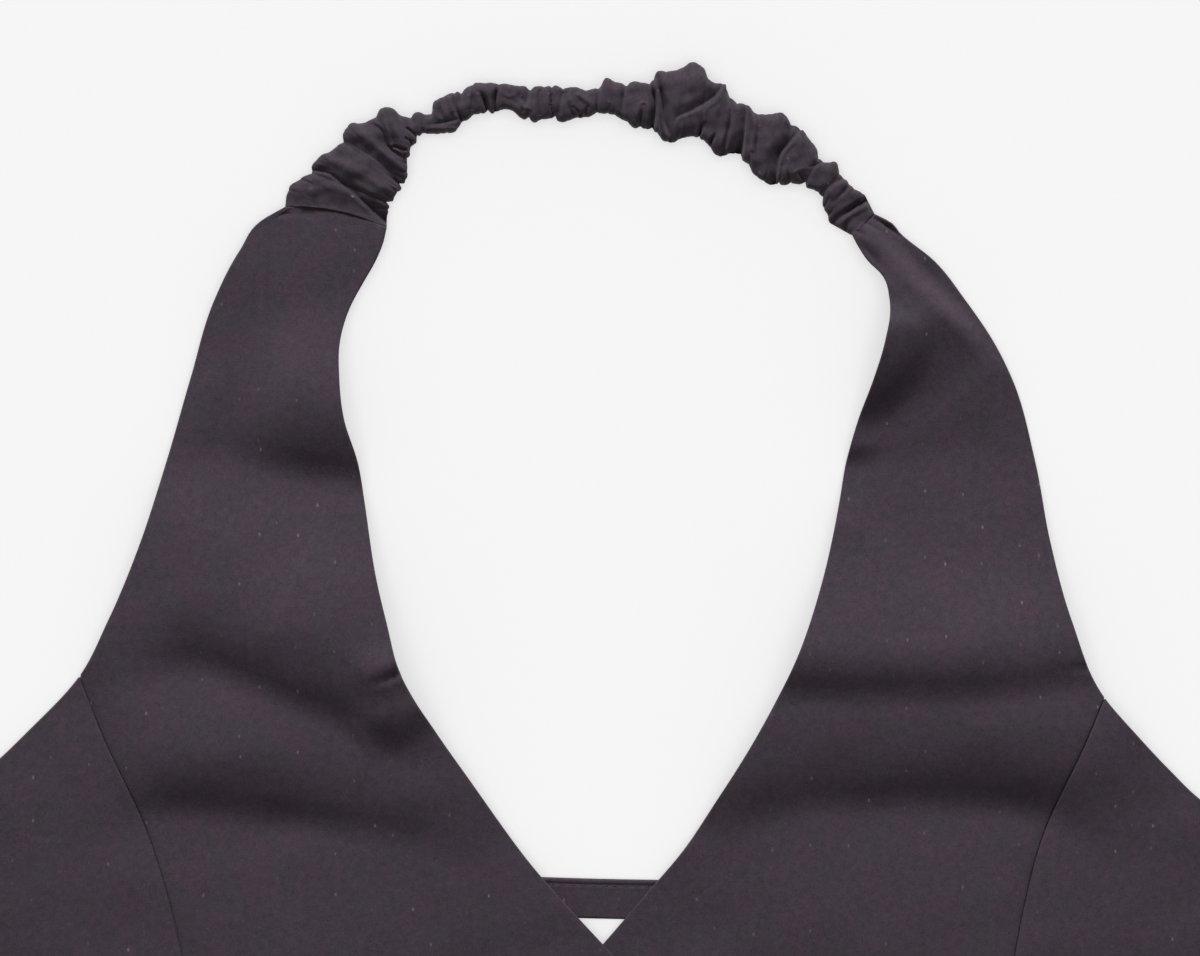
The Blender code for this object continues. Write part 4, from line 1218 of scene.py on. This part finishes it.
def strap_skin(spacing, wall):
    """The whole skin of the strap, its two ends included; wall is 0 on the outside."""
    side, up = ring_places()
    rings = strap_rings(spacing, side, up, wall)
    start = seam_ring(STRAP_SEAM_RIGHT, SEAM_BOW, rings[0, :, :2].mean(axis=0), side, up, wall)
    end = seam_ring(STRAP_SEAM_LEFT, 0.0, rings[-1, :, :2].mean(axis=0), side, up, wall)
    skin = np.concatenate(
        [end_rings(start, rings[0], up), rings, end_rings(end, rings[-1], up)[::-1]]
    )
    if not wall:
        x, y, z = skin[..., 0], skin[..., 1], skin[..., 2]
        relief = np.maximum(strap_relief_height(x, y), (LOWEST_SHARE - 1.0) * z)
        near_seam = smooth_step(np.arange(len(skin)), 0, END_RINGS / 2)
        near_seam = near_seam * near_seam[::-1]
        skin[..., 2] = z + smooth_step(up, 0.0, TOP_SHARE) * relief * near_seam[:, None]
    return skin


def tube_mesh(name, outside, inside):
    """A tube with a wall from two stacks of rings with the same number of points."""
    points = outside.shape[1]
    out = np.arange(outside.shape[0] * points).reshape(-1, points)
    into = out[-1, -1] + 1 + np.arange(inside.shape[0] * points).reshape(-1, points)
    strips = [*zip(out, out[1:]), *zip(into[1:], into), (into[0], out[0]), (out[-1], into[-1])]
    faces = np.concatenate([
        np.stack([first, np.roll(first, -1), np.roll(second, -1), second], axis=1)
        for first, second in strips
    ])
    grains = []
    for skin in (outside, inside):
        run = running(step_lengths(skin).mean(axis=1))[:, None]
        turn = running(step_lengths(skin, 1).mean(axis=0))[None, :]
        grains.append(np.stack(np.broadcast_arrays(turn, run), axis=-1).reshape(-1, 2))
    skins = np.concatenate([outside.reshape(-1, 3), inside.reshape(-1, 3)])
    return cloth_mesh(name, skins, faces, np.concatenate(grains))


outside, hollow = strap_skin(RING_SPACING, 0.0), strap_skin(HOLLOW_SPACING, CASING_WALL)
neck_mesh = tube_mesh("neck_strap_ruched", outside, hollow)
neck_strap = add_piece("neck_strap_ruched", neck_mesh, RUCHED_SHADED, "ruched_suiting", "neck_strap")

# %% [markdown]
# ## Buttons
# Turned resin buttons with a dished middle and four holes. A fine lathe profile gives the rim its
# soft light; the holes are cut with four pegs. The thread lies in two bundles from hole to hole.

# %% Turned buttons
BUTTONS = ("button_1", "button_2", "button_3", "button_4")
BUTTON_TURNS = 96
BUTTON_SAMPLES = 9      # places each way at which the cloth under a button is measured
BUTTON_DISH = 0.7       # how deep the middle lies below the rim
BUTTON_HOLE_AT = 1.45   # each hole, from the middle, both ways
BUTTON_HOLE_RADIUS = 0.85
PEG_HALF_LENGTH = 9.0   # of the pegs that cut the holes
CRISP_ANGLE = 40.0      # degrees between faces from which a button's edge looks sharp
# The lathe's section as (share of the radius, height): the face from the rim's top, then the back
BUTTON_SECTION = (
    (0.0, -BUTTON_DISH), (0.35, -BUTTON_DISH), (0.58, -BUTTON_DISH + 0.02), (0.66, -0.5),
    (0.72, -0.18), (0.79, -0.03), (0.85, 0.0), (0.92, -0.10), (0.97, -0.38), (1.0, -0.85),
)
BUTTON_UNDERSIDE = ((0.99, 0.75), (0.96, 0.35), (0.9, 0.1), (0.82, 0.0), (0.4, 0.0), (0.0, 0.0))
RESIN_DARK = (0.016, 0.013, 0.015, 1.0)
RESIN_PALE = (0.036, 0.029, 0.034, 1.0)
RESIN_CLOUDS = (260.0, 900.0, 260.0)        # cells to the metre
RESIN_RUBBED = (2500.0, 2500.0, 2500.0)


def turned_mesh(name, section):
    """A closed solid of revolution from (radius, height) pairs that start and end on the axis."""
    turns = np.linspace(0.0, 2.0 * math.pi, BUTTON_TURNS, endpoint=False)
    ring = np.stack([np.cos(turns), np.sin(turns)], axis=1)
    verts = [(0.0, 0.0, section[0][1])]
    for radius, height in section[1:-1]:
        verts.extend((*place, height) for place in (ring * radius).tolist())
    verts.append((0.0, 0.0, section[-1][1]))
    last = len(verts) - 1
    faces = []
    for i in range(BUTTON_TURNS):
        j = (i + 1) % BUTTON_TURNS
        faces.append((0, 1 + i, 1 + j))
        for n in range(len(section) - 3):
            a, b = 1 + n * BUTTON_TURNS, 1 + (n + 1) * BUTTON_TURNS
            faces.append((a + i, b + i, b + j, a + j))
        base = 1 + (len(section) - 3) * BUTTON_TURNS
        faces.append((base + i, last, base + j))
    mesh = bpy.data.meshes.new(name)
    mesh.from_pydata((np.array(verts) * MM).tolist(), [], faces)
    return mesh


def with_holes(mesh):
    """The mesh with four holes cut through it."""
    radius, end = BUTTON_HOLE_RADIUS, PEG_HALF_LENGTH
    profile = ((0.0, end), (radius, end), (radius, -end), (0.0, -end))
    turned = add_object("turned", mesh)
    pegs = []
    for across, along in ((-1, -1), (-1, 1), (1, -1), (1, 1)):
        peg = add_object("peg", turned_mesh("peg", profile))
        peg.location = (across * BUTTON_HOLE_AT * MM, along * BUTTON_HOLE_AT * MM, 0.0)
        cut = turned.modifiers.new("hole", "BOOLEAN")
        cut.operation = "DIFFERENCE"
        cut.object = peg
        pegs.append(peg)
    graph = bpy.context.evaluated_depsgraph_get()
    cut_mesh = bpy.data.meshes.new_from_object(turned.evaluated_get(graph))
    for spent in (turned, *pegs):
        bpy.data.objects.remove(spent)
    cut_mesh.shade_smooth()
    cut_mesh.set_sharp_from_angle(angle=math.radians(CRISP_ANGLE))
    return cut_mesh


def resin_finish():
    """Dark polished resin with a faint cloudy grain."""
    finish = Finish("button_resin", IOR=1.5)
    place = finish.node("ShaderNodeTexCoord", output=OBJECT_PLACE)
    cloud = finish.noise(finish.scaled(place, RESIN_CLOUDS), detail=4.0)
    rubbed = finish.noise(finish.scaled(place, RESIN_RUBBED), detail=2.0)
    finish.feed(finish.shader, {
        "Base Color": finish.mix(RESIN_DARK, RESIN_PALE, cloud),
        "Roughness": 0.22 + rubbed * 0.18,
    })
    return finish.material


RESIN = resin_finish()
button_spots = []
for node in BUTTONS:
    low, high = (Vector(corner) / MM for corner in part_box(node))
    x, y = (low.x + high.x) / 2.0, (low.y + high.y) / 2.0
    radius, thick = (high.x - low.x) / 2.0, high.z - low.z
    # each button rests on the highest cloth under it
    around = np.linspace(-radius, radius, BUTTON_SAMPLES)
    near_x, near_y = np.meshgrid(x + around, y + around)
    rest = float(lapped_height(near_x, near_y).max()) + WALL
    section = [(share * radius, thick + height) for share, height in BUTTON_SECTION]
    section += [(share * radius, height) for share, height in BUTTON_UNDERSIDE]
    mesh = with_holes(turned_mesh(node + "_turned", section))
    mesh.transform(Matrix.Translation(Vector((x, y, rest)) * MM))
    mesh.name = node + "_turned"
    add_piece(node + "_turned", mesh, RESIN, "button", node)
    button_spots.append((x, y, rest, thick))

# %% Thread through the buttons
BUTTON_THREAD_RADIUS = 0.17
BUTTON_STRANDS = (-0.42, -0.14, 0.14, 0.42)
STRAND_POINTS = 9
STRAND_LIFTS = (0.30, 0.36, 0.30, 0.36)     # above the dish's floor, at the middle
STRAND_ARCH = 1.6


def button_strands(x, y, rest, thick):
    """Two bundles of thread that cross the dish from hole to hole."""
    along = np.linspace(-1.0, 1.0, STRAND_POINTS)
    floor = rest + thick - BUTTON_DISH
    paths = []
    for row in (-BUTTON_HOLE_AT, BUTTON_HOLE_AT):
        for strand, lift in zip(BUTTON_STRANDS, STRAND_LIFTS):
            xs = x + along * BUTTON_HOLE_AT
            ys = np.full(STRAND_POINTS, y + row + strand)
            zs = floor + lift - STRAND_ARCH * np.abs(along) ** 3
            paths.append(np.stack([xs, ys, zs], axis=1))
    return paths


strands = [path for spot in button_spots for path in button_strands(*spot)]
strands_mesh = thread_mesh("button_threads", strands, BUTTON_THREAD_RADIUS)
add_piece("button_threads", strands_mesh, THREAD, "button")

# %% [markdown]
# ## Buttonholes
# Each button passes through a slit in the right front. The slit is edged by close stitches on both
# sides and a short bar at either end. Only the part towards the side shows beside the button.

# %% Buttonholes
HOLE_START = -16.5      # the slit's ends, from the button's middle
HOLE_END = 3.4
HOLE_PITCH = 0.42       # from one stitch to the next
HOLE_HALF = 1.5         # how far the stitches reach from the slit
HOLE_THREAD = 0.2
# A stitch as (places away from the slit, lifts above the cloth), and a bar the same way
HOLE_STITCH = ((0.12, 0.5, 1.1, HOLE_HALF), (-0.05, 0.16, 0.12, -0.12))
BAR_HALF = HOLE_HALF + 0.2
BAR_LIFTS = (-0.1, 0.18, 0.25, 0.25, 0.18, -0.1)
BAR_STRANDS = (-0.3, 0.0, 0.3)


def laid_stitch(at, ys, lifts):
    """A stitch across the right front at x = at, through the ys, lifted above the cloth."""
    xs = np.full(len(ys), at)
    return np.stack([xs, ys, lapped_height(xs, ys) + WALL + lifts], axis=1)


def buttonhole_paths(x, y):
    """The stitches along both sides of one slit and the bars at its ends."""
    paths = []
    for at in np.arange(x + HOLE_START, x + HOLE_END, HOLE_PITCH):
        for way in (-1.0, 1.0):
            paths.append(laid_stitch(at, y + way * np.array(HOLE_STITCH[0]), HOLE_STITCH[1]))
    bar = y + np.linspace(-BAR_HALF, BAR_HALF, len(BAR_LIFTS))
    for end in (x + HOLE_START - HOLE_PITCH, x + HOLE_END + HOLE_PITCH):
        paths.extend(laid_stitch(end + shift, bar, BAR_LIFTS) for shift in BAR_STRANDS)
    return paths


hole_paths = [path for x, y, _, _ in button_spots for path in buttonhole_paths(x, y)]
hole_mesh = thread_mesh("buttonhole_stitches", hole_paths, HOLE_THREAD)
add_piece("buttonhole_stitches", hole_mesh, THREAD, "suiting")
print(len(hole_paths), "stitches round", len(button_spots), "buttonholes")

# %% [markdown]
# ## The cut of the cloth
# A sheet of cloth keeps its size however it is laid. Here each piece prints half the area of its
# skin. The fronts and the back are laid flat; the back strap is folded lengthwise; the neck strap
# is gathered, so its cut is longer than what is left of it.

# %% Half the skin's area of each piece, in square metres
for piece in (*shells.values(), back_panel, back_strap, neck_strap):
    print(piece.name, "measures", round(plan_area(piece.data), 5))

# %% [markdown]
# ## Table, light and camera
# A pale table and one broad soft light from beyond the neck strap. The folds are shallow, so the
# light is low, and an even surround keeps the shaded sides readable. The light is linked to the
# garment alone, as a studio screens its key light from the table, so the table stays plain.

# %% Table
WHITE = (1.0, 1.0, 1.0, 1.0)
TABLE_COLOUR = (0.80, 0.80, 0.80, 1.0)
TABLE_GLOW = 0.52       # a light table: part of its brightness is its own
TABLE_HALF = 15.0       # metres
TABLE_DROP = 0.0002     # metres, so that the cloth's underside and the table don't coincide
table_finish = Finish("table", Roughness=0.9, Emission_Strength=TABLE_GLOW)
table_finish.feed(table_finish.shader, {
    "Base Color": TABLE_COLOUR, "Specular IOR Level": 0.0, "Emission Color": WHITE,
})
table_mesh = bpy.data.meshes.new("table")
corners = [(x * TABLE_HALF, y * TABLE_HALF, 0.0) for x, y in ((-1, -1), (1, -1), (1, 1), (-1, 1))]
table_mesh.from_pydata(corners, [], [(0, 1, 2, 3)])
table_mesh.materials.append(table_finish.material)
surround = collection("surround")
table = add_object("table", table_mesh, surround)
table.location.z = -TABLE_DROP

# %% Lights
SURROUND_LIGHT = 0.22
KEY_TARGET = Vector((0.0, 0.06, 0.0))
KEY_ELEVATION = 31.0
KEY_BEARING = 6.0       # degrees from +Y towards -X
KEY_DISTANCE = 4.4
KEY_SIZE = 1.3
KEY_WATTS = 204.0
TABLE_LIGHT_HEIGHT = 3.5
TABLE_LIGHT_SIZE = 4.0
TABLE_WATTS = 48.0


def soft_light(name, size, watts, place, target, receivers):
    """A square soft box that lights one collection only."""
    lamp = bpy.data.lights.new(name, "AREA")
    lamp.shape = "SQUARE"
    lamp.size = size
    lamp.energy = watts
    holder = add_object(name, lamp)
    holder.location = place
    holder.rotation_euler = (target - place).to_track_quat("-Z", "Y").to_euler()
    holder.light_linking.receiver_collection = receivers


elevation, bearing = math.radians(KEY_ELEVATION), math.radians(KEY_BEARING)
flat_way = Vector((-math.sin(bearing), math.cos(bearing), 0.0))
key_way = flat_way * math.cos(elevation) + Vector((0.0, 0.0, math.sin(elevation)))
key_place = KEY_TARGET + KEY_DISTANCE * key_way
soft_light("key", KEY_SIZE, KEY_WATTS, key_place, KEY_TARGET, garment)
over_table = Vector((0.0, 0.0, TABLE_LIGHT_HEIGHT))
soft_light("table_light", TABLE_LIGHT_SIZE, TABLE_WATTS, over_table, Vector(), surround)

world = bpy.data.worlds.new("studio")
scene.world = world
world.use_nodes = True
background = world.node_tree.nodes["Background"].inputs
background["Color"].default_value = WHITE
background["Strength"].default_value = SURROUND_LIGHT
scene.view_settings.view_transform = "Standard"

# %% Camera
FRAME_WIDTH = 372.0     # mm of cloth across the frame
FRAME_CENTRE = (-0.93, 100.46)
LENS = 180.0
SENSOR = 36.0
CLOTH_PLANE = 2.5       # the height of the cloth whose width is framed

camera_data = bpy.data.cameras.new("camera")
camera_data.lens = LENS
camera_data.sensor_width = SENSOR
camera = add_object("camera", camera_data)
height = FRAME_WIDTH * LENS / SENSOR + CLOTH_PLANE
camera.location = (FRAME_CENTRE[0] * MM, FRAME_CENTRE[1] * MM, height * MM)
scene.camera = camera
print("camera at", round(height), "mm over the table")
